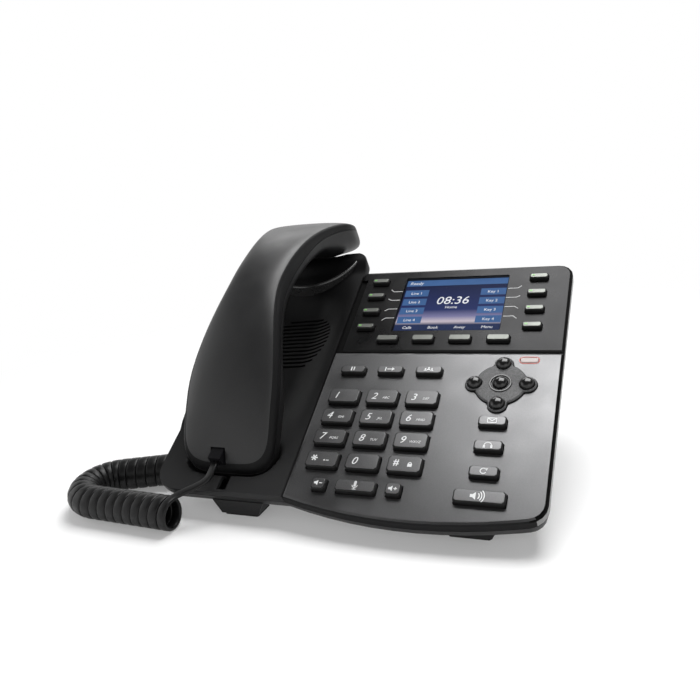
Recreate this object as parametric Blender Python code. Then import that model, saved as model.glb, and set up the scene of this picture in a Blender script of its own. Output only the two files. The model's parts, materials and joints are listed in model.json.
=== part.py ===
import bpy
import bmesh
from math import atan, cos, pi, radians, sin, sqrt
from mathutils import Matrix, Vector

# All sizes are in millimetres in the deck frame: x across, y up the face, w out of the face
MM = 0.001
TILT = radians(30.0)
FACE_RISE = 13.9
GAP = 0.35
WALL = 2.2

# Outline of the base, seen square to the face
LEFT_X = -110.5
RIGHT_X = 110.5
SEAM_X = -25.0
BOW_MID_Y = 1.7
BOW_DROP = 8.5
FRONT_Y = BOW_MID_Y + BOW_DROP
SPLIT_Y = 113.2
PANEL_TOP_Y = 186.4
CRADLE_RISE = 19.6
CRADLE_TOP_Y = PANEL_TOP_Y + CRADLE_RISE
CRADLE_CORNER = 16.0
CRADLE_TOP_X = -40.0
PARTING_W = -6.0
PLATE = 2.4
EDGE_ROUND = 1.6
CASE_STEP_W = -12.0
CASE_FRONT_W = -18.0
CASE_SLOPE = 0.075
CASE_INSET = 5.5
FRONT_CORNER = 10.0
REAR_CORNER = 8.5

# Keys
COLUMN_X = (-7.85, 15.15, 38.15)
ROW_Y = (77.0, 62.5, 48.1, 33.2)
DIAL_SIZE = (18.3, 10.0)
KEY_TOP = 3.2
KEY_TRAVEL = 1.2
FLANGE = 0.8
FLANGE_TOP_W = -PLATE - GAP
FLANGE_BOTTOM_W = FLANGE_TOP_W - 1.3
SIDE_KEY_X = 78.7
NAV_X = 79.2
NAV_Y = 89.5
NAV_OFFSET = 14.0
NAV_DISC_R = 14.0
NAV_BUTTON_R = 4.0
NAV_LOBE_R = NAV_BUTTON_R + GAP + 1.0
LAMP = (92.5, 107.5, 9.8, 3.7)

# Screen
SCREEN = (39.9, 155.0, 65.7, 47.2)
WINDOW_THICK = 1.6

# Inside
MAT_TOP_W = FLANGE_BOTTOM_W - KEY_TRAVEL - 0.4
MAT_THICK = 1.2
BOARD_TOP_W = MAT_TOP_W - MAT_THICK - GAP
BOARD_THICK = 1.6
BOARD_BACK = 9.0

# Handset, along its own length s from the middle
HAND_X = -65.8
HAND_L = 107.5
HAND_FRONT = 11.3
HAND_Y = FRONT_Y + HAND_FRONT + HAND_L
HAND_CAP = 26.5
HAND_STRAIGHT = HAND_L - HAND_CAP
HAND_MID = 18.8
HAND_EAR = 31.0
HAND_MOUTH = 29.6
HAND_APEX = 40.6
HAND_SAG = 46.2
HAND_DROP = HAND_SAG / HAND_L ** 2
HAND_LEAN = 0.02
EAR_FLARE = HAND_L - 22.5
MOUTH_FLARE = HAND_L - 45.5
CUP_START = HAND_L - 59.5
CUP_SLOPE = 22.0
TAPER_START = HAND_L - 35.5
EAR_END_POWER = 2.8
MOUTH_END_POWER = 4.0
REAR_HIGH = 11.5
REAR_POWER = 4.5
GRIP_DEEP = 8.0
EAR_DEEP = 18.0
MOUTH_DEEP = 15.0
FRONT_POWER = 4.0
END_TAPER = 8.0
HAND_WALL = 2.0
RINGS = (1.0, 0.97, 0.88, 0.72, 0.5, 0.25, 0.0)
HAND_SIDE_COUNT = 12
HAND_END_COUNT = 10
SOCKET = (9.4, 8.0)
NEST_GAP = 1.2
NEST_SIDE = 2.6
EAR_S = HAND_L - 28.5
MOUTH_S = 31.5 - HAND_L
CAPSULE_R = 11.5

# Cradle details
GRID_X = 15
GRID_Y = 36
VALLEY = 9.0
TOP_RIM = 5.0
TOP_RIM_Y = CRADLE_TOP_Y - 18.0
LIP_Y = HAND_Y + HAND_L - 33.5
LIP_R = 34.0
LIP_HALF = 2.4
LIP_TOP = 3.0
SPEAKER_X = -60.0
SPEAKER_Y = 130.0
SPEAKER_R = 24.0
SLOTS = 13
SLOT_PITCH = 3.4
HOOK_Y = HAND_Y - HAND_L + 32.5
HOOK = (9.0, 5.0)
HOOK_RISE = 4.0
HOOK_FLANGE = 1.5
NOTCH = (10.0, 5.0)

# Feet, sockets and stand
FOOT_X = (-57.0, 71.7)
FOOT_Y = (7.5, 21.0)
FOOT_HALF = 11.5
PAD_THICK = 1.4
PORT_X = (24.0, 42.0, 60.0)
PORT_SIZE = (12.0, 8.6)
PORT_DEEP = 9.0
PORT_DROP = 10.4
PORT_WALL = 3.0
STAND_X = 62.0
STAND_SLOT = (24.0, 3.4)
STAND_SLOT_Y = (128.0, 158.0)
STAND_HALF = 78.0
STAND_PLATE = 3.0
STAND_Y = (118.0, 166.0)
STAND_FOOT = 18.0
STAND_FOOT_Y = 168.0
JACK_Y = 78.0
JACK_W = -14.5
JACK_SIZE = (8.4, 7.2)

# Cord
PLUG = (7.8, 6.4)
PLUG_RISE = 12.5
PLUG_X = -4.0
PLUG_OUT = 3.0
PLUG_IN = 4.0
CORD_D = 3.4
COIL_D = 18.0
COIL_PITCH = 5.6
CURLS = 29.75
CURL_POINTS = 9
COIL_START = Vector((-84.0, -4.2))
COIL_HEADING = radians(176.5)
COIL_NEAR = 60.0
COIL_BEND_R = 24.5
COIL_TURN = radians(151.0)
COIL_RUN = CURLS * COIL_PITCH
COIL_R = (COIL_D - CORD_D) / 2.0
COIL_Z = COIL_D / 2.0 + 0.3


for old in list(bpy.data.objects):
    bpy.data.objects.remove(old, do_unlink=True)


def smooth(t):
    t = max(0.0, min(1.0, t))
    return t * t * (3.0 - 2.0 * t)


def empty(name, location, parent=None, turn=0.0):
    obj = bpy.data.objects.new(name, None)
    bpy.context.scene.collection.objects.link(obj)
    obj.location = Vector(location) * MM
    obj.rotation_euler = (turn, 0.0, 0.0)
    obj.parent = parent
    return obj


def paint(obj, colour, metal, rough):
    mat = bpy.data.materials.new(obj.name)
    mat.use_nodes = True
    shader = mat.node_tree.nodes["Principled BSDF"]
    shader.inputs["Base Color"].default_value = (*colour, 1.0)
    shader.inputs["Metallic"].default_value = metal
    shader.inputs["Roughness"].default_value = rough
    obj.data.materials.clear()
    obj.data.materials.append(mat)


def solid(name, verts, faces, parent=None, location=(0.0, 0.0, 0.0)):
    mesh = bpy.data.meshes.new(name)
    mesh.from_pydata([tuple(c * MM for c in v) for v in verts], [], faces)
    work = bmesh.new()
    work.from_mesh(mesh)
    bmesh.ops.remove_doubles(work, verts=work.verts, dist=1e-6)
    bmesh.ops.recalc_face_normals(work, faces=work.faces)
    work.to_mesh(mesh)
    work.free()
    obj = bpy.data.objects.new(name, mesh)
    bpy.context.scene.collection.objects.link(obj)
    obj.parent = parent
    obj.location = Vector(location) * MM
    return obj


def loft(rings):
    count = len(rings[0])
    verts = [p for ring in rings for p in ring]
    faces = [list(range(count))[::-1]]
    for i in range(len(rings) - 1):
        for k in range(count):
            n = (k + 1) % count
            faces.append([i * count + k, i * count + n, (i + 1) * count + n, (i + 1) * count + k])
    faces.append([(len(rings) - 1) * count + k for k in range(count)])
    return verts, faces


def merged(parts):
    verts = []
    faces = []
    for more_verts, more_faces in parts:
        base = len(verts)
        verts += more_verts
        faces += [[base + k for k in face] for face in more_faces]
    return verts, faces


def combine(target, tool, operation):
    tool.hide_render = True
    tool.display_type = "WIRE"
    bpy.context.view_layer.update()
    step = target.modifiers.new(operation.lower(), "BOOLEAN")
    step.operation = operation
    step.solver = "EXACT"
    step.object = tool
    graph = bpy.context.evaluated_depsgraph_get()
    result = bpy.data.meshes.new_from_object(target.evaluated_get(graph))
    target.modifiers.clear()
    target.data = result
    bpy.data.objects.remove(tool, do_unlink=True)


def cut(target, shapes, parent, location=(0.0, 0.0, 0.0)):
    combine(target, solid("cutter", *merged(shapes), parent, location), "DIFFERENCE")


def add(target, shapes, parent, location=(0.0, 0.0, 0.0)):
    combine(target, solid("adder", *merged(shapes), parent, location), "UNION")


def box(low, high):
    x0, y0, w0 = low
    x1, y1, w1 = high
    ring = ((x0, y0), (x1, y0), (x1, y1), (x0, y1))
    return loft([[(x, y, w) for x, y in ring] for w in (w0, w1)])


def tube(x, y, radius, w0, w1, count=20):
    ring = circle(x, y, radius, count)
    return loft([[(a, b, w) for a, b in ring] for w in (w0, w1)])


def circle(x, y, radius, count):
    turns = [2.0 * pi * k / count for k in range(count)]
    return [(x + radius * cos(a), y + radius * sin(a)) for a in turns]


def rounded(corners, steps=3):
    points = []
    count = len(corners)
    for k in range(count):
        x, y, r = corners[k]
        if r <= 0.0:
            points.append((x, y))
            continue
        here = Vector((x, y))
        back = (Vector(corners[k - 1][:2]) - here).normalized()
        ahead = (Vector(corners[(k + 1) % count][:2]) - here).normalized()
        half = back.angle(ahead) / 2.0
        centre = here + (back + ahead).normalized() * (r / sin(half))
        start = here + back * (r / tan_of(half)) - centre
        stop = here + ahead * (r / tan_of(half)) - centre
        turn = start.angle_signed(stop)
        for i in range(steps + 1):
            arm = start.copy()
            arm.rotate(Matrix.Rotation(-turn * i / steps, 2))
            points.append(tuple(centre + arm))
    return points


def tan_of(angle):
    return sin(angle) / cos(angle)


def pad(x, y, wide, deep, radius, steps=2):
    a = wide / 2.0
    b = deep / 2.0
    return rounded(((x - a, y - b, radius), (x + a, y - b, radius),
                    (x + a, y + b, radius), (x - a, y + b, radius)), steps)


def inset(outline, distance):
    count = len(outline)
    result = []
    for k in range(count):
        here = Vector(outline[k])
        a = (here - Vector(outline[k - 1])).normalized()
        b = (Vector(outline[(k + 1) % count]) - here).normalized()
        side_a = Vector((-a.y, a.x))
        side_b = Vector((-b.y, b.x))
        way = (side_a + side_b).normalized()
        result.append(tuple(here + way * (distance / max(0.5, way.dot(side_a)))))
    return result


def level(outline, w):
    return [(x, y, w) for x, y in outline]


def bow(x):
    middle = (SEAM_X + RIGHT_X) / 2.0
    t = (x - middle) / (RIGHT_X - middle)
    return BOW_MID_Y + BOW_DROP * t * t


def underside(y):
    return CASE_FRONT_W - CASE_SLOPE * y


# Frame of the whole object: the deck leans back on the desk
root = empty("root", (0.0, 0.0, 0.0))
deck = empty("deck", (0.0, 0.0, FACE_RISE), root, TILT)


def on_desk(x, y, w):
    return Vector((x, y * cos(TILT) - w * sin(TILT), FACE_RISE + y * sin(TILT) + w * cos(TILT)))


def floor_w(y, z=0.0):
    return (z - FACE_RISE - y * sin(TILT)) / cos(TILT)


def bow_points(x0, x1, count):
    return [(x0 + (x1 - x0) * k / count, bow(x0 + (x1 - x0) * k / count)) for k in range(count + 1)]


def cradle_left(y):
    past = max(0.0, FRONT_Y + CRADLE_CORNER - y, y - CRADLE_TOP_Y + CRADLE_CORNER)
    return LEFT_X + CRADLE_CORNER - sqrt(max(0.0, CRADLE_CORNER ** 2 - past ** 2))


def cradle_right(y):
    past = max(0.0, y - PANEL_TOP_Y) / CRADLE_RISE
    return SEAM_X - (SEAM_X - CRADLE_TOP_X) * (1.0 - sqrt(max(0.0, 1.0 - past * past)))


# Bottom case: drafted tray with an open top
front_line = bow_points(SEAM_X, RIGHT_X - FRONT_CORNER * 1.4, 10)
right_line = rounded((front_line[-1] + (0.0,), (RIGHT_X, bow(RIGHT_X), FRONT_CORNER),
                      (RIGHT_X, PANEL_TOP_Y, REAR_CORNER), (SEAM_X, PANEL_TOP_Y, 0.0)), 4)
shoulder_y = [PANEL_TOP_Y + CRADLE_RISE * k / 5 for k in range(6)]
shoulder = [(cradle_right(y), y) for y in shoulder_y]
cradle_line = rounded(((CRADLE_TOP_X, CRADLE_TOP_Y, 0.0), (LEFT_X, CRADLE_TOP_Y, CRADLE_CORNER),
                       (LEFT_X, FRONT_Y, CRADLE_CORNER), (SEAM_X, FRONT_Y, 0.0)), 6)
case_outline = front_line[:-1] + right_line[:-1] + shoulder[:-1] + cradle_line[:-1]


def tray(inward, lift):
    step = inset(case_outline, inward + 1.5)
    low = inset(case_outline, inward + CASE_INSET)
    return loft([[(x, y, underside(y) + lift) for x, y in low], level(step, CASE_STEP_W),
                 level(inset(case_outline, inward), PARTING_W + lift)])


bottom_case = solid("bottom_case", *tray(0.0, 0.0), deck)


def foot_block(x, half_top, half_low, top, z):
    y0, y1 = FOOT_Y
    low = [(x - half_low, y0, floor_w(y0, z)), (x + half_low, y0, floor_w(y0, z)),
           (x + half_low, y1, floor_w(y1, z)), (x - half_low, y1, floor_w(y1, z))]
    high = [(x - half_top, y0 + 3.5, top[0]), (x + half_top, y0 + 3.5, top[0]),
            (x + half_top, y1 + 8.0, top[1]), (x - half_top, y1 + 8.0, top[1])]
    return loft([low, high])


feet = [foot_block(x, FOOT_HALF + 4.5, FOOT_HALF, (-11.0, -13.0), PAD_THICK + GAP) for x in FOOT_X]
add(bottom_case, feet, deck)
cut(bottom_case, [tray(WALL, WALL)], deck)

# Bay in the rear wall for the sockets, level with the desk
board_low = BOARD_TOP_W - BOARD_THICK
board_end = on_desk(0.0, PANEL_TOP_Y - BOARD_BACK, board_low)
port_z = board_end.z - PORT_DROP


half_port = (PORT_SIZE[0] / 2.0, PORT_SIZE[1] / 2.0)
bay_low = (PORT_X[0] - half_port[0] - PORT_WALL, board_end.y - 1.0, port_z - half_port[1] - GAP)
bay_high = (PORT_X[-1] + half_port[0] + PORT_WALL, board_end.y + 24.0, port_z + half_port[1] + GAP)
cut(bottom_case, [box(bay_low, bay_high)], root)

# Slots for the stand, jack opening in the left wall
case_cuts = []
for side in (-1, 1):
    for y in STAND_SLOT_Y:
        case_cuts.append(box((side * STAND_X - STAND_SLOT[0] / 2, y - STAND_SLOT[1] / 2, underside(y) - 3.0),
                             (side * STAND_X + STAND_SLOT[0] / 2, y + STAND_SLOT[1] / 2, underside(y) + 4.0)))
case_cuts.append(box((LEFT_X - 2.0, JACK_Y - JACK_SIZE[0] / 2, JACK_W - JACK_SIZE[1] / 2),
                     (LEFT_X + 8.0, JACK_Y + JACK_SIZE[0] / 2, JACK_W + JACK_SIZE[1] / 2)))
cut(bottom_case, case_cuts, deck)
paint(bottom_case, (0.03, 0.03, 0.032), 0.0, 0.5)

for side, x in zip(("left", "right"), FOOT_X):
    y0, y1 = FOOT_Y
    low = pad(x, (y0 + y1) / 2.0, 2.0 * FOOT_HALF - 2.0, y1 - y0 - 1.2, 1.0)
    rings = [[(a, b, floor_w(b, z)) for a, b in low] for z in (0.0, PAD_THICK)]
    paint(solid("foot_pad_" + side, *loft(rings), deck), (0.015, 0.015, 0.015), 0.0, 0.8)


# Handset surfaces
def hand_half(s):
    if s < 0.0:
        return HAND_MID + (HAND_MOUTH - HAND_MID) * min(1.0, -s / MOUTH_FLARE) ** 1.6
    return HAND_MID + (HAND_EAR - HAND_MID) * min(1.0, s / EAR_FLARE) ** 2.4


def hand_arch(s):
    return HAND_APEX - HAND_DROP * s * s + HAND_LEAN * s


def rear_high(s):
    return REAR_HIGH - (1.0 if s > 0.0 else 4.0) * (s / HAND_L) ** 2


def front_deep(s):
    cup = EAR_DEEP if s > 0.0 else MOUTH_DEEP
    taper = END_TAPER * (max(0.0, abs(s) - TAPER_START) / (HAND_L - TAPER_START)) ** 2
    return GRIP_DEEP + (cup - GRIP_DEEP) * smooth((abs(s) - CUP_START) / CUP_SLOPE) - taper


def end_power(s):
    return EAR_END_POWER if s > 0.0 else MOUTH_END_POWER


def hand_outline(shrink):
    points = []
    for way in (1, -1):
        power = 2.0 / end_power(way)
        for k in range(HAND_SIDE_COUNT):
            s = way * HAND_STRAIGHT * (2.0 * k / HAND_SIDE_COUNT - 1.0)
            points.append((way * (hand_half(s) - shrink), s))
        half = hand_half(way * HAND_STRAIGHT) - shrink
        for k in range(HAND_END_COUNT):
            a = pi * k / HAND_END_COUNT
            across = abs(cos(a)) ** power * (1 if cos(a) >= 0 else -1)
            reach = (HAND_CAP - shrink) * sin(a) ** power
            points.append((way * across * half, way * (HAND_STRAIGHT + reach)))
    return points


def dome(r, power):
    return (1.0 - min(1.0, r) ** power) ** (1.0 / power)


def bowl_rings(way, power, depth, shrink, offset):
    rings = []
    for r in RINGS:
        ring = []
        for x, s in hand_outline(shrink):
            anchor = max(-HAND_STRAIGHT, min(HAND_STRAIGHT, s))
            along = anchor + (s - anchor) * r
            high = (depth(along) - shrink) * dome(r, power)
            ring.append((x * r, along, hand_arch(along) + way * (offset + high)))
        rings.append(ring)
    return rings


def bowl(way, power, depth):
    outer = bowl_rings(way, power, depth, 0.0, GAP / 2.0)
    inner = bowl_rings(way, power, depth, HAND_WALL, GAP / 2.0)
    verts, faces = loft(outer[::-1] + inner)
    return verts, faces[1:-1]


def front_w(x, s):
    if abs(s) > HAND_L + NEST_SIDE:
        return 99.0
    half = hand_half(max(-HAND_STRAIGHT, min(HAND_STRAIGHT, s))) + NEST_SIDE
    past = max(0.0, abs(s) - HAND_STRAIGHT) / (HAND_L + NEST_SIDE - HAND_STRAIGHT)
    power = end_power(s)
    r = ((abs(x) / half) ** power + past ** power) ** (1.0 / power)
    if past == 0.0:
        r = abs(x) / half
    if r >= 1.0:
        return 99.0
    return hand_arch(s) - front_deep(s) * dome(r, FRONT_POWER) - NEST_GAP


hand = empty("handset", (HAND_X, HAND_Y, 0.0), deck)
rear_shell = solid("handset_rear_shell", *bowl(1, REAR_POWER, rear_high), hand)
front_shell = solid("handset_front_shell", *bowl(-1, FRONT_POWER, front_deep), hand)

# Socket in the mouth end of the rear shell, sound holes in the two cups
plug_w = hand_arch(-HAND_L) + PLUG_RISE
cut(rear_shell, [box((PLUG_X - SOCKET[0] / 2, -HAND_L - 4.0, plug_w - SOCKET[1] / 2),
                     (PLUG_X + SOCKET[0] / 2, -HAND_L + 24.0, plug_w + SOCKET[1] / 2))], hand)
hole_spots = circle(0.0, EAR_S, 7.0, 6) + [(0.0, EAR_S)] + [(x, MOUTH_S) for x in (-5.0, 0.0, 5.0)]
holes = [tube(x, along, 1.3, -14.0, 20.0, 8) for x, along in hole_spots]
cut(front_shell, holes, hand)
paint(rear_shell, (0.035, 0.035, 0.037), 0.0, 0.38)
paint(front_shell, (0.03, 0.03, 0.032), 0.0, 0.45)

# Receiver capsule inside the ear cup, square to the sloping cup floor
def cup_floor(along):
    return hand_arch(along) - front_deep(along) + HAND_WALL


slope = (cup_floor(EAR_S + CAPSULE_R) - cup_floor(EAR_S - CAPSULE_R)) / (2.0 * CAPSULE_R)
capsule_shape = ((-1.0, 0.0), (0.0, 0.5), (0.0, 4.5), (-5.0, 6.5))
capsule_rings = [level(circle(0.0, 0.0, CAPSULE_R + r, 20), w) for r, w in capsule_shape]
capsule = solid("receiver_capsule", *loft(capsule_rings), hand, (0.0, EAR_S, cup_floor(EAR_S) + 1.6 * GAP))
capsule.rotation_euler = (atan(slope), 0.0, 0.0)
paint(capsule, (0.25, 0.25, 0.26), 0.6, 0.4)

# Cradle: a skin whose top follows the valley and the handset's nest
def cradle_w(x, y):
    left = cradle_left(y)
    right = cradle_right(y)
    edge = -0.6 - 2.0 * smooth((HAND_X + 20.0 - x) / 40.0)
    t = (x - HAND_X) / (right - HAND_X) if x > HAND_X else (HAND_X - x) / (HAND_X - left)
    across = 1.0 - smooth((t - 0.3) / 0.7)
    along = smooth((y - FRONT_Y - 4.0) / 80.0) * (1.0 - 0.9 * smooth((y - 150.0) / 36.0))
    rim = TOP_RIM * smooth((y - TOP_RIM_Y) / 12.0)
    return min(edge + rim - VALLEY * across * along, front_w(x - HAND_X, y - HAND_Y))


def cradle_shape():
    verts = []
    for top in (True, False):
        for j in range(GRID_Y + 1):
            y = FRONT_Y + (CRADLE_TOP_Y - FRONT_Y) * j / GRID_Y
            left = cradle_left(y)
            right = cradle_right(y) - GAP
            for i in range(GRID_X + 1):
                x = left + (right - left) * i / GRID_X
                rim = i in (0, GRID_X) or j in (0, GRID_Y)
                w = cradle_w(x, y)
                low = PARTING_W + GAP if rim else max(w - PLATE, underside(y) + WALL + GAP)
                verts.append((x, y, w if top else low))
    row = GRID_X + 1
    layer = row * (GRID_Y + 1)
    faces = []
    for j in range(GRID_Y):
        for i in range(GRID_X):
            k = j * row + i
            faces.append([k, k + 1, k + row + 1, k + row])
            faces.append([layer + k, layer + k + row, layer + k + row + 1, layer + k + 1])
    rim = [i for i in range(row)] + [j * row + GRID_X for j in range(1, GRID_Y + 1)]
    rim += [GRID_Y * row + i for i in range(GRID_X - 1, -1, -1)] + [j * row for j in range(GRID_Y - 1, 0, -1)]
    for k in range(len(rim)):
        a = rim[k]
        b = rim[(k + 1) % len(rim)]
        faces.append([a, layer + a, layer + b, b])
    return verts, faces


cradle = solid("cradle", *cradle_shape(), deck)

# Raised half-ring round the ear cup
lip_rings = []
for k in range(21):
    a = radians(-165.0 + 150.0 * k / 20)
    x = HAND_X + LIP_R * cos(a)
    y = LIP_Y + LIP_R * sin(a)
    low = cradle_w(x, y) - 1.5
    shape = ((-LIP_HALF, low), (LIP_HALF, low), (LIP_HALF, LIP_TOP - 2.0), (1.0, LIP_TOP), (-1.0, LIP_TOP),
             (-LIP_HALF, LIP_TOP - 2.0))
    lip_rings.append([(x + d * cos(a), y + d * sin(a), w) for d, w in shape])
add(cradle, [loft(lip_rings)], deck)

# Loudspeaker slots and the hook switch opening
slots = []
for k in range(SLOTS):
    y = SPEAKER_Y + (k - (SLOTS - 1) / 2) * SLOT_PITCH
    half = sqrt(SPEAKER_R ** 2 - (y - SPEAKER_Y) ** 2)
    slots.append(box((SPEAKER_X - half, y - 0.8, -30.0), (SPEAKER_X + half, y + 0.8, 10.0)))
slots.append(box((HAND_X - HOOK[0] / 2 - GAP, HOOK_Y - HOOK[1] / 2 - GAP, -30.0),
                 (HAND_X + HOOK[0] / 2 + GAP, HOOK_Y + HOOK[1] / 2 + GAP, 10.0)))
slots.append(box((HAND_X - NOTCH[0] / 2, FRONT_Y - 2.0, -30.0),
                 (HAND_X + NOTCH[0] / 2, FRONT_Y + NOTCH[1], 10.0)))
cut(cradle, slots, deck)
paint(cradle, (0.03, 0.03, 0.032), 0.0, 0.45)

hook_top = hand_arch(HOOK_Y - HAND_Y) - MOUTH_DEEP - 1.6
hook_stop = cradle_w(HAND_X, HOOK_Y) - PLATE - HOOK_RISE - 4.0 * GAP - hook_top
hook_shape = ((3.0, hook_stop - HOOK_FLANGE), (3.0, hook_stop), (0.0, hook_stop), (0.0, -1.0), (-1.2, 0.0))
hook_rings = [level(pad(0.0, 0.0, HOOK[0] + a, HOOK[1] + a, 0.6), w) for a, w in hook_shape]
hook = solid("hook_switch", *loft(hook_rings), deck, (HAND_X, HOOK_Y, hook_top))
paint(hook, (0.04, 0.04, 0.04), 0.0, 0.4)

speaker_shape = ((13.0, -9.0), (13.0, -5.0), (22.0, -2.0), (22.0, 0.0), (19.0, 0.0), (6.0, -4.0))
speaker_w = -VALLEY - 0.6 - PLATE - GAP - 2.5
speaker = solid("loudspeaker", *loft([level(circle(0.0, 0.0, r, 24), w) for r, w in speaker_shape]), deck,
                (SPEAKER_X, SPEAKER_Y, speaker_w))
paint(speaker, (0.05, 0.05, 0.05), 0.0, 0.7)


# Face panels: plates with rounded edges and a hollow underside
def panel(name, outline, openings):
    rings = []
    for inward, w in ((1.0, 0.0), (0.3, -0.29), (0.0, -1.0)):
        rings.append(level(inset(outline, inward * EDGE_ROUND), w * EDGE_ROUND))
    rings.append(level(outline, PARTING_W + GAP))
    obj = solid(name, *loft(rings[::-1]), deck)
    inner = inset(outline, WALL)
    cut(obj, [loft([level(inner, PARTING_W - 2.0), level(inner, -PLATE)])], deck)
    cut(obj, openings, deck)
    return obj


def opening(outline):
    return loft([level(outline, -PLATE - 4.0), level(outline, 4.0)])


def lobed(extra, count=64):
    points = []
    for k in range(count):
        a = 2.0 * pi * k / count
        far = NAV_DISC_R + extra
        for q in range(4):
            d = a - q * pi / 2.0
            reach = (NAV_LOBE_R + extra) ** 2 - (NAV_OFFSET * sin(d)) ** 2
            if reach > 0.0 and cos(d) > 0.0:
                far = max(far, NAV_OFFSET * cos(d) + sqrt(reach))
        points.append((NAV_X + far * cos(a), NAV_Y + far * sin(a)))
    return points


# Every key: name, centre, size, top height, corner radius
digits = ("1", "2", "3", "4", "5", "6", "7", "8", "9", "star", "0", "hash")
keys = []
for k, digit in enumerate(digits):
    keys.append(("dial_key_" + digit, COLUMN_X[k % 3], ROW_Y[k // 3], *DIAL_SIZE, KEY_TOP, 1.2))
for k, use in enumerate(("hold", "transfer", "conference")):
    keys.append((use + "_key", COLUMN_X[k], 97.2, 15.2, 5.6, KEY_TOP, 1.0))
for use, x, wide in (("volume_down", -5.2, 7.8), ("mute", 15.2, 21.8), ("volume_up", 35.5, 8.0)):
    keys.append((use + "_key", x, 18.3, wide, 7.0, KEY_TOP, 1.0))
for k, use in enumerate(("message", "headset", "redial")):
    keys.append((use + "_key", SIDE_KEY_X, 63.1 - 15.5 * k, 14.5, 6.2, KEY_TOP, 1.0))
keys.append(("speaker_key", SIDE_KEY_X, 17.8, 25.3, 7.2, KEY_TOP, 1.0))
lower_keys = list(keys)
for k in range(4):
    keys.append(("line_key_left_" + str(k + 1), -10.1, 174.9 - 13.8 * k, 11.2, 4.2, 2.6, 0.7))
    keys.append(("line_key_right_" + str(k + 1), 91.3, 174.6 - 13.8 * k, 11.0, 4.2, 2.6, 0.7))
    keys.append(("soft_key_" + str(k + 1), 6.65 + 22.26 * k, 123.2, 13.3, 4.8, 2.6, 0.7))
upper_keys = [key for key in keys if key not in lower_keys]


def key_openings(wanted):
    return [opening(pad(x, y, wide + 2 * GAP, deep + 2 * GAP, r)) for _, x, y, wide, deep, _, r in wanted]


low_outline = front_line[:-1]
low_outline += rounded((front_line[-1] + (0.0,), (RIGHT_X, bow(RIGHT_X), FRONT_CORNER),
                        (RIGHT_X, SPLIT_Y, 0.0)), 4)
low_outline.append((SEAM_X, SPLIT_Y))
lamp_hole = pad(LAMP[0], LAMP[1], LAMP[2] + 2 * GAP, LAMP[3] + 2 * GAP, 0.8)
faceplate = panel("keypad_faceplate", low_outline,
                  key_openings(lower_keys) + [opening(lobed(GAP)), opening(lamp_hole)])
paint(faceplate, (0.2, 0.2, 0.205), 0.5, 0.42)

high_outline = rounded(((SEAM_X, SPLIT_Y + GAP, 0.0), (RIGHT_X, SPLIT_Y + GAP, 0.0),
                        (RIGHT_X, PANEL_TOP_Y, REAR_CORNER), (SEAM_X, PANEL_TOP_Y, 3.0)), 4)
screen_x, screen_y, screen_wide, screen_deep = SCREEN
screen_hole = pad(screen_x, screen_y, screen_wide + 2 * GAP, screen_deep + 2 * GAP, 1.0)
bezel = panel("display_bezel", high_outline, key_openings(upper_keys) + [opening(screen_hole)])
GROOVE = (4.5, 1.6)
cut(bezel, [box((SEAM_X - 2.0, SPLIT_Y - 2.0, -GROOVE[1]),
                (SEAM_X + GROOVE[0], PANEL_TOP_Y - 8.0, 4.0))], deck)
paint(bezel, (0.05, 0.05, 0.052), 0.1, 0.45)

window = solid("display_window", *loft([level(pad(screen_x, screen_y, screen_wide, screen_deep, 0.8), w)
                                        for w in (-0.3 - WINDOW_THICK, -0.3)]), deck)
paint(window, (0.1, 0.12, 0.16), 0.0, 0.1)
lcd_outline = pad(screen_x, screen_y, screen_wide + 4.0, screen_deep + 4.0, 0.5)
lcd = solid("lcd_module", *loft([level(lcd_outline, w) for w in (BOARD_TOP_W + 0.4, -PLATE - 0.4)]), deck)
paint(lcd, (0.05, 0.08, 0.2), 0.0, 0.3)
lamp_shape = ((1.6, -4.0), (1.6, -PLATE - GAP), (0.0, -PLATE - GAP), (0.0, 0.0), (-0.8, 0.5))
lamp_rings = [level(pad(LAMP[0], LAMP[1], LAMP[2] + a, LAMP[3] + a, 0.7), w) for a, w in lamp_shape]
lamp = solid("message_lamp", *loft(lamp_rings), deck)
paint(lamp, (0.7, 0.25, 0.25), 0.0, 0.3)


def key_cap(name, x, y, wide, deep, top, radius):
    rings = []
    for grow, w in ((FLANGE, FLANGE_BOTTOM_W), (FLANGE, FLANGE_TOP_W), (0.0, FLANGE_TOP_W), (0.0, top - 0.6),
                    (-0.6, top)):
        rings.append(level(pad(0.0, 0.0, wide + 2 * grow, deep + 2 * grow, radius, 1), w))
    return solid(name, *loft(rings), deck, (x, y, 0.0))


for key in keys:
    cap = key_cap(*key)
    if key in lower_keys:
        paint(cap, (0.19, 0.19, 0.195), 0.4, 0.42)
    else:
        paint(cap, (0.45, 0.46, 0.44), 0.1, 0.4)

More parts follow.
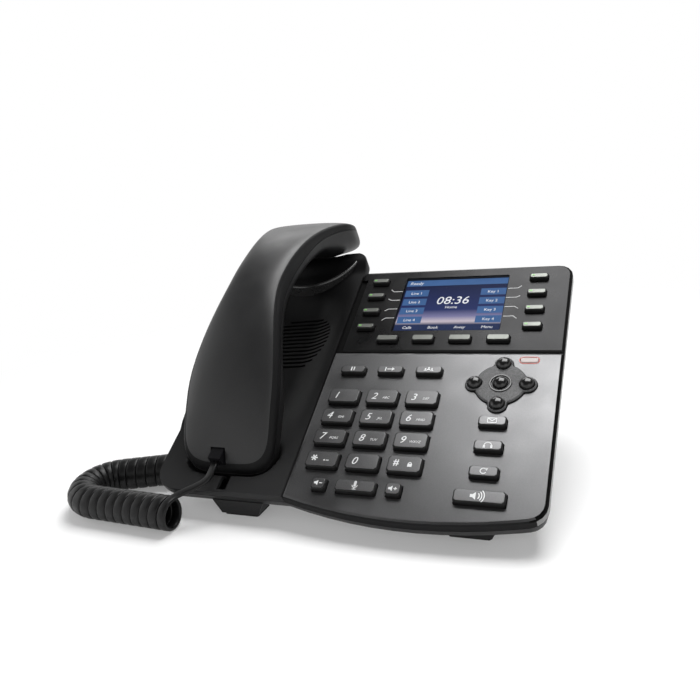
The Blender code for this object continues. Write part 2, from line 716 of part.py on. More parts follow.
# Navigation disc with its five buttons
disc_shape = ((0.0, -PLATE), (0.0, 0.9), (-0.8, 1.5))
disc = solid("nav_disc", *loft([level(lobed(a), w) for a, w in disc_shape]), deck)
spots = {"nav_ok": (0.0, 0.0), "nav_right": (1.0, 0.0), "nav_up": (0.0, 1.0), "nav_left": (-1.0, 0.0),
         "nav_down": (0.0, -1.0)}
cut(disc, [tube(NAV_X + NAV_OFFSET * a, NAV_Y + NAV_OFFSET * b, NAV_BUTTON_R + GAP, -6.0, 4.0, 24)
           for a, b in spots.values()], deck)
paint(disc, (0.06, 0.06, 0.062), 0.1, 0.5)
ball_shape = ((FLANGE, FLANGE_BOTTOM_W), (FLANGE, FLANGE_TOP_W), (0.0, FLANGE_TOP_W), (0.0, 2.2), (-0.5, 3.2),
              (-1.8, 4.0), (-3.2, 4.3))
for name, (a, b) in spots.items():
    rings = [level(circle(0.0, 0.0, NAV_BUTTON_R + grow, 16), w) for grow, w in ball_shape]
    button = solid(name, *loft(rings), deck, (NAV_X + NAV_OFFSET * a, NAV_Y + NAV_OFFSET * b, 0.0))
    paint(button, (0.03, 0.03, 0.03), 0.0, 0.25)

# Keypad mat and main board with its socket block
mat = solid("keypad_membrane", *box((SEAM_X + 4.0, FRONT_Y + 4.3, MAT_TOP_W - MAT_THICK),
                                    (RIGHT_X - 9.0, SPLIT_Y + 14.0, MAT_TOP_W)), deck)
paint(mat, (0.3, 0.3, 0.3), 0.0, 0.8)
board = solid("main_board", *box((SEAM_X + 6.0, 20.0, board_low),
                                 (RIGHT_X - 9.0, PANEL_TOP_Y - BOARD_BACK, BOARD_TOP_W)), deck)
block_low = (bay_low[0] + GAP, board_end.y - PORT_DEEP - PORT_WALL, bay_low[2] - PORT_WALL / 2.0)
block_high = (bay_high[0] - GAP, board_end.y, board_end.z + 0.5)
block = solid("block", *box(block_low, block_high), root)
cut(block, [box((block_low[0] - 1.0, 0.0, board_low + 0.5), (block_high[0] + 1.0, PANEL_TOP_Y, 20.0))], deck)
combine(board, block, "UNION")
socket_cuts = []
for x in PORT_X:
    socket_cuts.append(box((x - half_port[0], board_end.y - PORT_DEEP, port_z - half_port[1]),
                           (x + half_port[0], board_end.y + 2.0, port_z + half_port[1])))
cut(board, socket_cuts, root)
paint(board, (0.03, 0.16, 0.07), 0.0, 0.5)

# Rear stand: plate on the underside, two legs and a foot bar
def below(y, drop):
    return (y, underside(y) - GAP - drop)


def from_floor(y_floor, z):
    rise = z - FACE_RISE
    return (y_floor * cos(TILT) + rise * sin(TILT), rise * cos(TILT) - y_floor * sin(TILT))


foot_back = STAND_FOOT_Y + STAND_FOOT
profile = [below(STAND_Y[0], STAND_PLATE), below(STAND_Y[0], 0.0), below(STAND_Y[1], 0.0),
           from_floor(foot_back, 3.0), from_floor(foot_back, 0.0), from_floor(STAND_FOOT_Y, 0.0),
           from_floor(STAND_FOOT_Y, 3.0), from_floor(foot_back - 6.0, 4.0),
           below(STAND_Y[1] - 5.0, STAND_PLATE)]
stand = solid("rear_stand", *loft([[(x, y, w) for y, w in profile] for x in (-STAND_HALF, STAND_HALF)]), deck)
tabs = []
for side in (-1, 1):
    for y in STAND_SLOT_Y:
        x = side * STAND_X
        tabs.append(box((x - STAND_SLOT[0] / 2 + GAP, y - STAND_SLOT[1] / 2 + GAP, underside(y) - 2.0),
                        (x + STAND_SLOT[0] / 2 - GAP, y + STAND_SLOT[1] / 2 - GAP, underside(y) + 1.8)))
add(stand, tabs, deck)
window_low = from_floor(174.0, 14.0)
window_high = from_floor(158.0, 52.0)
lean = Vector((window_high[0] - window_low[0], window_high[1] - window_low[1])).normalized() * 6.0
across = Vector((-lean.y, lean.x)) * 4.0
corners = [(window_low[0] + k * across.x, window_low[1] + k * across.y) for k in (-1, 1)]
corners += [(window_high[0] + k * across.x, window_high[1] + k * across.y) for k in (1, -1)]
cut(stand, [loft([[(x, y, w) for y, w in corners] for x in (-STAND_HALF + 16.0, STAND_HALF - 16.0)])], deck)
paint(stand, (0.025, 0.025, 0.027), 0.0, 0.55)


# Plugs at the two ends of the cord
half_x = PLUG[0] / 2
half_w = PLUG[1] / 2
handset_plug = solid("handset_plug", *box((PLUG_X - half_x, -HAND_L + PLUG_IN, plug_w - half_w),
                                          (PLUG_X + half_x, -HAND_L + PLUG_IN + 16.0, plug_w + half_w)), hand)
base_plug = solid("base_plug", *box((LEFT_X - PLUG_OUT, JACK_Y - half_x, JACK_W - half_w),
                                    (LEFT_X + 9.0, JACK_Y + half_x, JACK_W + half_w)), deck)
for plug in (handset_plug, base_plug):
    paint(plug, (0.08, 0.08, 0.085), 0.0, 0.3)


# Curly cord, in the desk frame: straight lead, coil round a bent axis, straight lead
def coil_axis(run):
    heading = COIL_HEADING
    spot = COIL_START + Vector((cos(heading), sin(heading))) * min(run, COIL_NEAR)
    bent = max(0.0, min(run - COIL_NEAR, COIL_BEND_R * COIL_TURN)) / COIL_BEND_R
    side = Vector((sin(heading), -cos(heading)))
    centre = spot + side * COIL_BEND_R
    spot = centre - Vector((sin(heading - bent), -cos(heading - bent))) * COIL_BEND_R
    heading -= bent
    spot += Vector((cos(heading), sin(heading))) * max(0.0, run - COIL_NEAR - COIL_BEND_R * COIL_TURN)
    return spot, heading


def coil_point(run):
    spot, heading = coil_axis(run)
    a = 2.0 * pi * run / COIL_PITCH
    out = Vector((-sin(heading), cos(heading))) * (COIL_R * sin(a))
    return Vector((spot.x + out.x, spot.y + out.y, COIL_Z + COIL_R * cos(a)))


def blend(p0, t0, p1, t1, count):
    points = []
    for k in range(1, count):
        t = k / count
        points.append(p0 * (2 * t ** 3 - 3 * t ** 2 + 1) + t0 * (t ** 3 - 2 * t ** 2 + t)
                      + p1 * (3 * t ** 2 - 2 * t ** 3) + t1 * (t ** 3 - t ** 2))
    return points


steps = round(CURLS * CURL_POINTS)
coil = [coil_point(COIL_RUN * k / steps) for k in range(steps + 1)]
out_dir = on_desk(0.0, -1.0, 0.0) - on_desk(0.0, 0.0, 0.0)
lead_a = on_desk(HAND_X + PLUG_X, HAND_Y - HAND_L + PLUG_IN - GAP, plug_w)
lead_b = on_desk(LEFT_X - PLUG_OUT - GAP, JACK_Y, JACK_W)
straight = 2.5 * CORD_D
first = lead_a + out_dir * straight
last = lead_b + Vector((-1.2 * CORD_D, 0.0, 0.0))
enter = (coil[1] - coil[0]).normalized()
leave = (coil[-1] - coil[-2]).normalized()
cord_path = [lead_a, lead_a + out_dir * straight * 0.5, first]
cord_path += blend(first, out_dir * 22.0, coil[0], enter * 26.0, 9)
cord_path += coil
cord_path += blend(coil[-1], leave * 40.0, last, Vector((20.0, 0.0, 0.0)), 12)
cord_path += [last, (last + lead_b) / 2.0, lead_b]


def sweep(path, radius, sides):
    rings = []
    side = None
    for k in range(len(path)):
        ahead = (path[min(k + 1, len(path) - 1)] - path[max(k - 1, 0)]).normalized()
        if side is None:
            side = ahead.orthogonal().normalized()
        side = (side - ahead * side.dot(ahead)).normalized()
        up = ahead.cross(side)
        rings.append([tuple(path[k] + side * a + up * b) for a, b in circle(0.0, 0.0, radius, sides)])
    return loft(rings)


cord = solid("handset_cord", *sweep(cord_path, CORD_D / 2.0, 6), root)
paint(cord, (0.02, 0.02, 0.02), 0.0, 0.5)
count = len(cord_path)
least = min((cord_path[i] - cord_path[j]).length for i in range(count) for j in range(i + 5, count))
length = sum((cord_path[k + 1] - cord_path[k]).length for k in range(len(cord_path) - 1))
print("cord gap to itself mm", round(least - CORD_D, 2), "cord length mm", round(length), "curls", CURLS)

# Row frame: middle of the base's footprint box, on the desk
bpy.context.view_layer.update()
cord_parts = (cord, handset_plug, base_plug)
points = [obj.matrix_world @ vert.co for obj in bpy.data.objects
          if obj.type == "MESH" and obj not in cord_parts for vert in obj.data.vertices]
low = [min(p[k] for p in points) for k in range(3)]
high = [max(p[k] for p in points) for k in range(3)]
root.location = (-(low[0] + high[0]) / 2.0, -(low[1] + high[1]) / 2.0, -low[2])
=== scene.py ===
import json
from math import cos, pi, radians, sin, sqrt

import bpy
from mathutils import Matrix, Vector


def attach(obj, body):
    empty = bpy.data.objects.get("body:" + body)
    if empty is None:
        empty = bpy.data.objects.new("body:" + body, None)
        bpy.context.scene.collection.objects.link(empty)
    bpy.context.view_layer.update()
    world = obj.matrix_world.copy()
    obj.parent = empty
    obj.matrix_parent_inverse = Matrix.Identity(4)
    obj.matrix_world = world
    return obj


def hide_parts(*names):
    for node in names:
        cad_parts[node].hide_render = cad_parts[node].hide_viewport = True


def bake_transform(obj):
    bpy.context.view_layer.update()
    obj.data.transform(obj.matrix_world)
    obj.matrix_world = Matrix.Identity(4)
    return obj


MM = 0.001

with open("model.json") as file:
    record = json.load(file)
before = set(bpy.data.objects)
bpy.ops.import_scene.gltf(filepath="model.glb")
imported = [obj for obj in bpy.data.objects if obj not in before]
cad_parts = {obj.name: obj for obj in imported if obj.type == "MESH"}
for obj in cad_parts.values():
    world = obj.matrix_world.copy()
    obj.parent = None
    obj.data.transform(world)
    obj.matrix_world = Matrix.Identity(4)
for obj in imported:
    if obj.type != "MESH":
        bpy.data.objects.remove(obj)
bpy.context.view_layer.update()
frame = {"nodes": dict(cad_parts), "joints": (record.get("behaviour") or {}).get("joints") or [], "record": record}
nodes = frame["nodes"]
bodies = frame["record"]["behaviour"]["bodies"]
body_of = {node: body for body, members in bodies.items() for node in members}
slot_of = {entry["node"]: entry["material_slot"] for entry in frame["record"]["subparts"]}
scene = bpy.context.scene
scene.view_settings.view_transform = "Standard"

# Face frame: x across, y up the face, w out of the face, in millimetres
ACROSS = Vector((1.0, 0.0, 0.0))
OUT = Vector(next(j["axis"] for j in frame["joints"] if j["name"] == "handset_lift")).normalized()
ALONG = OUT.cross(ACROSS)


def on_face(x, y, w):
    return ACROSS * x + ALONG * y + OUT * w


def face_box(node):
    points = [v.co / MM for v in nodes[node].data.vertices]
    spans = [[p.dot(axis) for p in points] for axis in (ACROSS, ALONG, OUT)]
    return Vector([min(s) for s in spans]), Vector([max(s) for s in spans])


HAND_LOW, HAND_HIGH = face_box("handset_rear_shell")
SCREEN_LOW, SCREEN_HIGH = face_box("display_window")
PANEL_LOW, PANEL_HIGH = face_box("keypad_faceplate")
BEZEL_LOW = face_box("display_bezel")[0]
FACE_W = PANEL_HIGH.z
ON_TOP = Vector((0.0, 0.0, FACE_W))

# Camera at the photograph's viewpoint
CAMERA_AT = (0.154084, -0.396768, 0.191201)
CAMERA_TURN = (74.206, 6.374, 21.690)
CAMERA_LENS = 37.3425
CAMERA_SENSOR = 36.0
CAMERA_CLIP = 0.01
camera = bpy.data.objects.new("camera", bpy.data.cameras.new("camera"))
camera.location = CAMERA_AT
camera.rotation_euler = [radians(a) for a in CAMERA_TURN]
camera.data.lens = CAMERA_LENS
camera.data.sensor_width = CAMERA_SENSOR
camera.data.clip_start = CAMERA_CLIP
scene.collection.objects.link(camera)
scene.camera = camera

# Material helpers
WHITE = (1.0, 1.0, 1.0)
BLACK = (0.0, 0.0, 0.0)
WHOLE_SPAN = (0.0, 1.0)
NOISE_SPAN = (0.3, 0.7)
MIX_SPAN = (0.35, 0.65)
FINE_DETAIL = 2.0
GRAIN_DEEP = 0.1
PATCH_SCALE = 55.0
PATCH_DETAIL = 3.0
ROUGH_SWING = 0.05
GLOW_SCALE = 90.0
GLOW_BASE = 0.03


def shader_of(mat):
    return mat.node_tree.nodes["Principled BSDF"]


def scaled(colour, factor):
    return tuple(c * factor for c in colour)


def new_material(name, colour, rough, metal=0.0, specular=0.5):
    mat = bpy.data.materials.new(name)
    mat.use_nodes = True
    shader = shader_of(mat)
    shader.inputs["Base Color"].default_value = (*colour, 1.0)
    shader.inputs["Roughness"].default_value = rough
    shader.inputs["Metallic"].default_value = metal
    shader.inputs["Specular IOR Level"].default_value = specular
    return mat


def coords(tree, kind):
    return tree.nodes.new("ShaderNodeTexCoord").outputs[kind]


def upward(tree):
    parts = tree.nodes.new("ShaderNodeSeparateXYZ")
    tree.links.new(coords(tree, "Generated"), parts.inputs["Vector"])
    return parts.outputs["Z"]


def noise(tree, scale, detail):
    texture = tree.nodes.new("ShaderNodeTexNoise")
    texture.inputs["Scale"].default_value = scale
    texture.inputs["Detail"].default_value = detail
    tree.links.new(coords(tree, "Object"), texture.inputs["Vector"])
    return texture.outputs["Fac"]


def map_range(tree, source, span, result=WHOLE_SPAN, easing="LINEAR"):
    step = tree.nodes.new("ShaderNodeMapRange")
    step.interpolation_type = easing
    step.inputs["From Min"].default_value = span[0]
    step.inputs["From Max"].default_value = span[1]
    step.inputs["To Min"].default_value = result[0]
    step.inputs["To Max"].default_value = result[1]
    tree.links.new(source, step.inputs["Value"])
    return step.outputs["Result"]


def mixed(tree, source, dark, light, span=MIX_SPAN):
    ramp = tree.nodes.new("ShaderNodeValToRGB")
    ramp.color_ramp.elements[0].position = span[0]
    ramp.color_ramp.elements[0].color = (*dark, 1.0)
    ramp.color_ramp.elements[1].position = span[1]
    ramp.color_ramp.elements[1].color = (*light, 1.0)
    tree.links.new(source, ramp.inputs["Fac"])
    return ramp.outputs["Color"]


def mottled(tree, source, colour, spread):
    return mixed(tree, source, scaled(colour, 1.0 - spread), scaled(colour, 1.0 + spread))


def moulded(name, colour, rough, grain_mm=0.45, relief=0.12, spread=0.12, metal=0.0, specular=0.4):
    mat = new_material(name, colour, rough, metal, specular)
    tree = mat.node_tree
    shader = shader_of(mat)
    grain = noise(tree, 1.0 / (grain_mm * MM), FINE_DETAIL)
    patch = noise(tree, PATCH_SCALE, PATCH_DETAIL)
    bump = tree.nodes.new("ShaderNodeBump")
    bump.inputs["Strength"].default_value = relief
    bump.inputs["Distance"].default_value = GRAIN_DEEP * MM
    tree.links.new(grain, bump.inputs["Height"])
    tree.links.new(bump.outputs["Normal"], shader.inputs["Normal"])
    worn = map_range(tree, patch, NOISE_SPAN, (rough - ROUGH_SWING, rough + ROUGH_SWING))
    tree.links.new(worn, shader.inputs["Roughness"])
    tree.links.new(mottled(tree, grain, colour, spread), shader.inputs["Base Color"])
    return mat


def glowing(name, colour, strength=0.9, spread=0.06):
    mat = moulded(name, scaled(colour, GLOW_BASE), 0.5, 0.4, 0.0, 0.1, 0.0, 0.0)
    tree = mat.node_tree
    shader = shader_of(mat)
    patch = noise(tree, GLOW_SCALE, FINE_DETAIL)
    tree.links.new(mottled(tree, patch, colour, spread), shader.inputs["Emission Color"])
    shader.inputs["Emission Strength"].default_value = strength
    return mat


# Finishes: colour, roughness, grain in millimetres, relief, spread of the tint, metal, specular level
case_black = moulded("case_black", (0.012, 0.012, 0.0125), 0.5, 0.45, 0.12, 0.15, 0.0, 0.25)
cradle_black = moulded("cradle_black", (0.006, 0.006, 0.0063), 0.45, 0.5, 0.1, 0.15, 0.0, 0.15)
hand_black = moulded("hand_black", (0.0135, 0.0135, 0.014), 0.4, 0.5, 0.06, 0.12, 0.0, 0.4)
# Painted shade: the front shell's black is darker than the rear shell's, for its shaded underside
cup_shade_black = moulded("cup_shade_black", (0.007, 0.007, 0.0073), 0.45, 0.5, 0.06, 0.12, 0.0, 0.25)
# Painted shade: a darker, matter copy of the handset black for the rear shell's shaded flank
rim_shade_black = moulded("rim_shade_black", (0.006, 0.006, 0.0063), 0.5, 0.5, 0.06, 0.12, 0.0, 0.12)
lip_black = moulded("lip_black", (0.02, 0.02, 0.02), 0.25, 0.5, 0.03, 0.12, 0.0, 0.6)
panel_grey = moulded("panel_grey", (0.115, 0.115, 0.117), 0.34, 0.22, 0.05, 0.14, 0.9)
key_grey = moulded("key_grey", (0.14, 0.14, 0.142), 0.34, 0.22, 0.05, 0.14, 0.85)
# Painted shade: a darker copy for the panels' front skirt and the bezel's lower edge
skirt_shade = moulded("skirt_shade", (0.01, 0.01, 0.0103), 0.55, 0.3, 0.08, 0.15, 0.0, 0.08)
key_side = moulded("key_side", (0.008, 0.008, 0.008), 0.5, 0.45, 0.1, 0.15, 0.0, 0.25)
# Painted shade in the bezel's groove beside the cradle; also the black line along the panels' right edge
groove_shade_and_line = moulded("groove_shade_and_line", (0.002, 0.002, 0.002), 0.7, 0.45, 0.1, 0.15, 0.0, 0.05)
bezel_grey = moulded("bezel_grey", (0.0115, 0.0115, 0.0118), 0.3, 0.25, 0.06, 0.2, 0.85)
pale_grey = moulded("pale_grey", (0.12, 0.125, 0.115), 0.38, 0.3, 0.05, 0.06, 0.8)
# Painted light: a lighter copy for the panels' lit right side
lit_side_grey = moulded("lit_side_grey", (0.2, 0.2, 0.2), 0.4, 0.3, 0.05, 0.06, 0.3)
disc_grey = moulded("disc_grey", (0.07, 0.07, 0.072), 0.5, 0.6, 0.35, 0.5)
ball_black = moulded("ball_black", (0.008, 0.008, 0.008), 0.14, 0.6, 0.02, 0.1, 0.0, 0.5)
foot_rubber = moulded("foot_rubber", (0.01, 0.01, 0.01), 0.8, 0.6, 0.25, 0.15, 0.0, 0.2)
cord_black = moulded("cord_black", (0.004, 0.004, 0.0042), 0.4, 0.8, 0.06, 0.15, 0.0, 0.26)
plug_smoke = moulded("plug_smoke", (0.006, 0.006, 0.007), 0.3, 1.0, 0.03, 0.1, 0.0, 0.2)
board_green = moulded("board_green", (0.02, 0.13, 0.05), 0.4, 1.2, 0.1)
mat_rubber = moulded("mat_rubber", (0.28, 0.28, 0.28), 0.75, 0.5, 0.15)
cone_black = moulded("cone_black", (0.015, 0.015, 0.015), 0.75, 1.0, 0.3)
metal_grey = moulded("metal_grey", (0.45, 0.45, 0.46), 0.32, 0.6, 0.1, 0.05, 1.0)
contact_gold = moulded("contact_gold", (0.8, 0.55, 0.2), 0.25, 0.6, 0.05, 0.05, 1.0)
lamp_pink = moulded("lamp_pink", (0.4, 0.34, 0.33), 0.3, 0.8, 0.03, 0.05)
lamp_red = moulded("lamp_red", (0.5, 0.09, 0.07), 0.35, 0.5, 0.03, 0.08)
white_ink = moulded("white_ink", (0.7, 0.71, 0.71), 0.5, 0.3, 0.02, 0.03)
green_lamp = moulded("green_lamp", (0.16, 0.4, 0.1), 0.3, 0.4, 0.02, 0.1)
glass = moulded("glass", (0.02, 0.022, 0.03), 0.35, 0.8, 0.0, 0.05)
GLASS_ALPHA = 0.03
shader_of(glass).inputs["Alpha"].default_value = GLASS_ALPHA


# Painted shade on the cradle: its black is lighter near the front and darkens up the face, standing in for the
# handset's shadow over it
def paint_shade_along(mat, low, high, span):
    tree = mat.node_tree
    place = tree.nodes.new("ShaderNodeVectorMath")
    place.operation = "DOT_PRODUCT"
    place.inputs[1].default_value = ALONG / MM
    tree.links.new(coords(tree, "Object"), place.inputs[0])
    share = map_range(tree, place.outputs["Value"], span)
    tree.links.new(mixed(tree, share, low, high, WHOLE_SPAN), shader_of(mat).inputs["Base Color"])


# Painted shade: the cradle's unshaded tone near the front, its shaded tone up the face, and how far the shade
# reaches
CRADLE_UNSHADED = (0.022, 0.022, 0.0225)
CRADLE_SHADED = (0.003, 0.003, 0.0032)
CRADLE_SHADE_REACH = 90.0
paint_shade_along(cradle_black, CRADLE_UNSHADED, CRADLE_SHADED, (PANEL_LOW.y, PANEL_LOW.y + CRADLE_SHADE_REACH))

# Finish and edges of each node
WELD = 0.01
KEY_CREASE = 35.0
KEY_ROUND = 0.12
ROUND_STEPS = 2
NAV_CREASE = 50.0


def assign(node, *materials):
    mesh = nodes[node].data
    mesh.materials.clear()
    for mat in materials:
        mesh.materials.append(mat)


def polish(node, angle, round_mm=0.0):
    obj = nodes[node]
    obj.data.polygons.foreach_set("use_smooth", [True] * len(obj.data.polygons))
    weld = obj.modifiers.new("weld", "WELD")
    weld.merge_threshold = WELD * MM
    if round_mm > 0.0:
        bevel = obj.modifiers.new("edges", "BEVEL")
        bevel.width = round_mm * MM
        bevel.segments = ROUND_STEPS
        bevel.limit_method = "ANGLE"
        bevel.angle_limit = radians(angle)
        bevel.use_clamp_overlap = True
        obj.modifiers.new("normals", "WEIGHTED_NORMAL").keep_sharp = True
    else:
        crease = obj.modifiers.new("creases", "EDGE_SPLIT")
        crease.split_angle = radians(angle)


finish_of = {
    "bottom_case": case_black, "rear_stand": case_black, "hook_switch": case_black, "lcd_module": case_black,
    "handset_front_shell": hand_black, "handset_rear_shell": hand_black, "keypad_faceplate": panel_grey,
    "display_bezel": bezel_grey, "display_window": glass, "message_lamp": lamp_pink, "nav_disc": disc_grey,
    "keypad_membrane": mat_rubber, "main_board": board_green, "loudspeaker": cone_black,
    "receiver_capsule": metal_grey, "foot_pad_left": foot_rubber, "foot_pad_right": foot_rubber,
    "handset_plug": plug_smoke, "base_plug": plug_smoke, "handset_cord": cord_black,
}
crease_of = {
    "keypad_faceplate": 18.0, "display_bezel": 18.0, "nav_disc": 18.0, "bottom_case": 26.0,
    "rear_stand": 26.0, "loudspeaker": 35.0, "message_lamp": 35.0,
}
for node, mat in finish_of.items():
    assign(node, mat)
for node, angle in crease_of.items():
    polish(node, angle)

# Panel edges with painted light and shade: painted shade on the front skirt and the bezel's lower edge, a black
# line on the right edge, a painted lit side on the right, painted shade in the groove beside the cradle
GROOVE_WIDE = 4.6
GROOVE_DEEP = 0.5
EDGE_ZONE = 12.0
BEZEL_EDGE = 2.5
BEZEL_UP = 0.1
LINE_RIGHT = 0.25
LINE_UP = 0.3
SIDE_RIGHT = 0.5
SKIRT_FRONT = 0.3
SKIRT_UP = 0.6
FLAT_UP = 0.97
TOP, SHADED_SKIRT, SHADE_AND_LINE, LIT_SIDE = range(4)


def edge_light_and_shade(node, face):
    up = face.normal.dot(OUT)
    front = -face.normal.dot(ALONG)
    right = face.normal.x
    middle = face.center / MM
    along = middle.dot(ALONG)
    if right > LINE_RIGHT and LINE_UP < up < FLAT_UP:
        return SHADE_AND_LINE
    # Painted light: the panels' right side drawn lighter
    if right > SIDE_RIGHT and up <= LINE_UP and middle.x > PANEL_HIGH.x - EDGE_ZONE:
        return LIT_SIDE
    # Painted shade: the front skirt drawn dark
    if up < SKIRT_UP and front > SKIRT_FRONT and along < PANEL_LOW.y + EDGE_ZONE:
        return SHADED_SKIRT
    if node == "display_bezel":
        # Painted shade: the groove beside the cradle drawn black
        if middle.x < BEZEL_LOW.x + GROOVE_WIDE and middle.dot(OUT) < FACE_W - GROOVE_DEEP:
            return SHADE_AND_LINE
        # Painted shade: the bezel's lower edge drawn dark
        if BEZEL_UP < up < FLAT_UP and along < BEZEL_LOW.y + BEZEL_EDGE:
            return SHADED_SKIRT
    return TOP


for node in ("keypad_faceplate", "display_bezel"):
    assign(node, finish_of[node], skirt_shade, groove_shade_and_line, lit_side_grey)
    for face in nodes[node].data.polygons:
        face.material_index = edge_light_and_shade(node, face)

# Window and disc: black edges
for node, limit in (("display_window", 0.5), ("nav_disc", 0.6)):
    assign(node, finish_of[node], key_side)
    for face in nodes[node].data.polygons:
        face.material_index = 1 if abs(face.normal.dot(OUT)) < limit else 0

# Keys: lacquered tops on black bodies, and glossy navigation buttons
KEY_UP = 0.9
lower_keys = [node for node, slot in slot_of.items() if slot == "grey_key"]
upper_keys = [node for node, slot in slot_of.items() if slot == "pale_key"]
nav_keys = [node for node, slot in slot_of.items() if slot == "gloss_button"]
for node in lower_keys + upper_keys:
    assign(node, key_side, key_grey if node in lower_keys else pale_grey)
    for face in nodes[node].data.polygons:
        on_key_top = face.normal.dot(OUT) > KEY_UP and face.center.dot(OUT) / MM > FACE_W
        face.material_index = 1 if on_key_top else 0
    polish(node, KEY_CREASE, KEY_ROUND)
for node in nav_keys:
    assign(node, ball_black)
    polish(node, NAV_CREASE)

# The socket block under the board is black plastic
BOARD_UNDER = 10.5
assign("main_board", board_green, key_side)
for face in nodes["main_board"].data.polygons:
    face.material_index = 1 if face.center.dot(OUT) / MM < FACE_W - BOARD_UNDER else 0


# Pieces made here, from points in millimetres in the row frame
def loose_piece(name, verts, faces, node, mat, smooth=False):
    mesh = bpy.data.meshes.new(name)
    mesh.from_pydata([Vector(v) * MM for v in verts], [], faces)
    mesh.materials.append(mat)
    mesh.polygons.foreach_set("use_smooth", [smooth] * len(mesh.polygons))
    mesh.update()
    obj = bpy.data.objects.new(name, mesh)
    scene.collection.objects.link(obj)
    return obj


def piece(name, verts, faces, node, mat, smooth=False):
    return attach(loose_piece(name, verts, faces, node, mat, smooth), body_of[node])


def loft(rings, caps=True):
    count = len(rings[0])
    verts = [p for ring in rings for p in ring]
    faces = []
    for i in range(len(rings) - 1):
        for k in range(count):
            n = (k + 1) % count
            faces.append([i * count + k, i * count + n, (i + 1) * count + n, (i + 1) * count + k])
    if caps:
        faces.append(list(range(count))[::-1])
        faces.append([(len(rings) - 1) * count + k for k in range(count)])
    return verts, faces


def merged(parts):
    verts = []
    faces = []
    for more_verts, more_faces in parts:
        base = len(verts)
        verts += more_verts
        faces += [[base + k for k in face] for face in more_faces]
    return verts, faces


def circle(x, y, radius, count):
    turns = [2.0 * pi * k / count for k in range(count)]
    return [(x + radius * cos(a), y + radius * sin(a)) for a in turns]


def powered(value, power):
    return abs(value) ** power * (1 if value >= 0 else -1)


def smooth_step(t):
    t = max(0.0, min(1.0, t))
    return t * t * (3.0 - 2.0 * t)


def crisp(obj, angle=35.0):
    obj.data.polygons.foreach_set("use_smooth", [True] * len(obj.data.polygons))
    obj.data.set_sharp_from_angle(angle=radians(angle))


def carve(obj, shapes):
    verts, faces = merged(shapes)
    mesh = bpy.data.meshes.new("cutter")
    mesh.from_pydata([Vector(v) * MM for v in verts], [], faces)
    tool = bpy.data.objects.new("cutter", mesh)
    scene.collection.objects.link(tool)
    step = obj.modifiers.new("carve", "BOOLEAN")
    step.solver = "EXACT"
    step.object = tool
    bpy.context.view_layer.update()
    result = bpy.data.meshes.new_from_object(obj.evaluated_get(bpy.context.evaluated_depsgraph_get()))
    obj.modifiers.clear()
    obj.data = result
    bpy.data.objects.remove(tool)


# Curly cord: a flat jacket wound into a coil that doubles back beside the base
COIL_D = 19.3
COIL_PITCH = 6.1
BEND_PITCH = 5.3
CURL_POINTS = 20
COIL_START = Vector((-86.0, -109.5))
COIL_HEADING = radians(176.5)
COIL_NEAR = 57.5
COIL_FAR = 36.5
COIL_BEND_R = 18.5
COIL_TURN = radians(154.0)
COIL_BEND = COIL_BEND_R * COIL_TURN
COIL_RUN = COIL_NEAR + COIL_BEND + COIL_FAR
FLOOR_GAP = 0.3
RIBBON_WIDEST = 8.6
RIBBON_DEEP = 2.2
RIBBON_GAP = 0.12
RIBBON_POINTS = 16
RIBBON_POWER = 0.55
LEAD_WIDE = 4.8
PLUG_GAP = 0.35
PLUG_STRAIGHT = 8.5
JACK_STRAIGHT = 4.08
NEAR_PULL = (22.0, 26.0)
NEAR_POINTS = 18
FAR_PULL = (40.0, 20.0)
FAR_POINTS = 24
COIL_R = (COIL_D - RIBBON_DEEP) / 2.0
COIL_Z = COIL_D / 2.0 + FLOOR_GAP


def coil_axis(run):
    heading = COIL_HEADING
    spot = COIL_START + Vector((cos(heading), sin(heading))) * min(run, COIL_NEAR)
    bent = max(0.0, min(run - COIL_NEAR, COIL_BEND)) / COIL_BEND_R
    side = Vector((sin(heading), -cos(heading)))
    centre = spot + side * COIL_BEND_R
    spot = centre - Vector((sin(heading - bent), -cos(heading - bent))) * COIL_BEND_R
    heading -= bent
    spot += Vector((cos(heading), sin(heading))) * max(0.0, run - COIL_NEAR - COIL_BEND)
    return spot, heading


def curls_to(run):
    bend = max(0.0, min(run - COIL_NEAR, COIL_BEND))
    return (run - bend) / COIL_PITCH + bend / BEND_PITCH


def run_at(curls):
    bend = max(0.0, min(curls - COIL_NEAR / COIL_PITCH, COIL_BEND / BEND_PITCH))
    return (curls - bend) * COIL_PITCH + bend * BEND_PITCH


def coil_point(run):
    spot, heading = coil_axis(run)
    a = 2.0 * pi * curls_to(run)
    out = Vector((-sin(heading), cos(heading))) * (COIL_R * sin(a))
    return Vector((spot.x + out.x, spot.y + out.y, COIL_Z + COIL_R * cos(a)))


def coil_sides(run):
    curls = curls_to(run)
    here = coil_point(run)
    spacings = [(coil_point(run_at(curls + way)) - here).length for way in (-1.0, 1.0)]
    return [(min(RIBBON_WIDEST, spacing) - RIBBON_GAP) / 2.0 for spacing in spacings]


def eased(p0, t0, p1, t1, count):
    points = []
    for k in range(1, count):
        t = k / count
        points.append(p0 * (2 * t ** 3 - 3 * t ** 2 + 1) + t0 * (t ** 3 - 2 * t ** 2 + t)
                      + p1 * (3 * t ** 2 - 2 * t ** 3) + t1 * (t ** 3 - t ** 2))
    return points


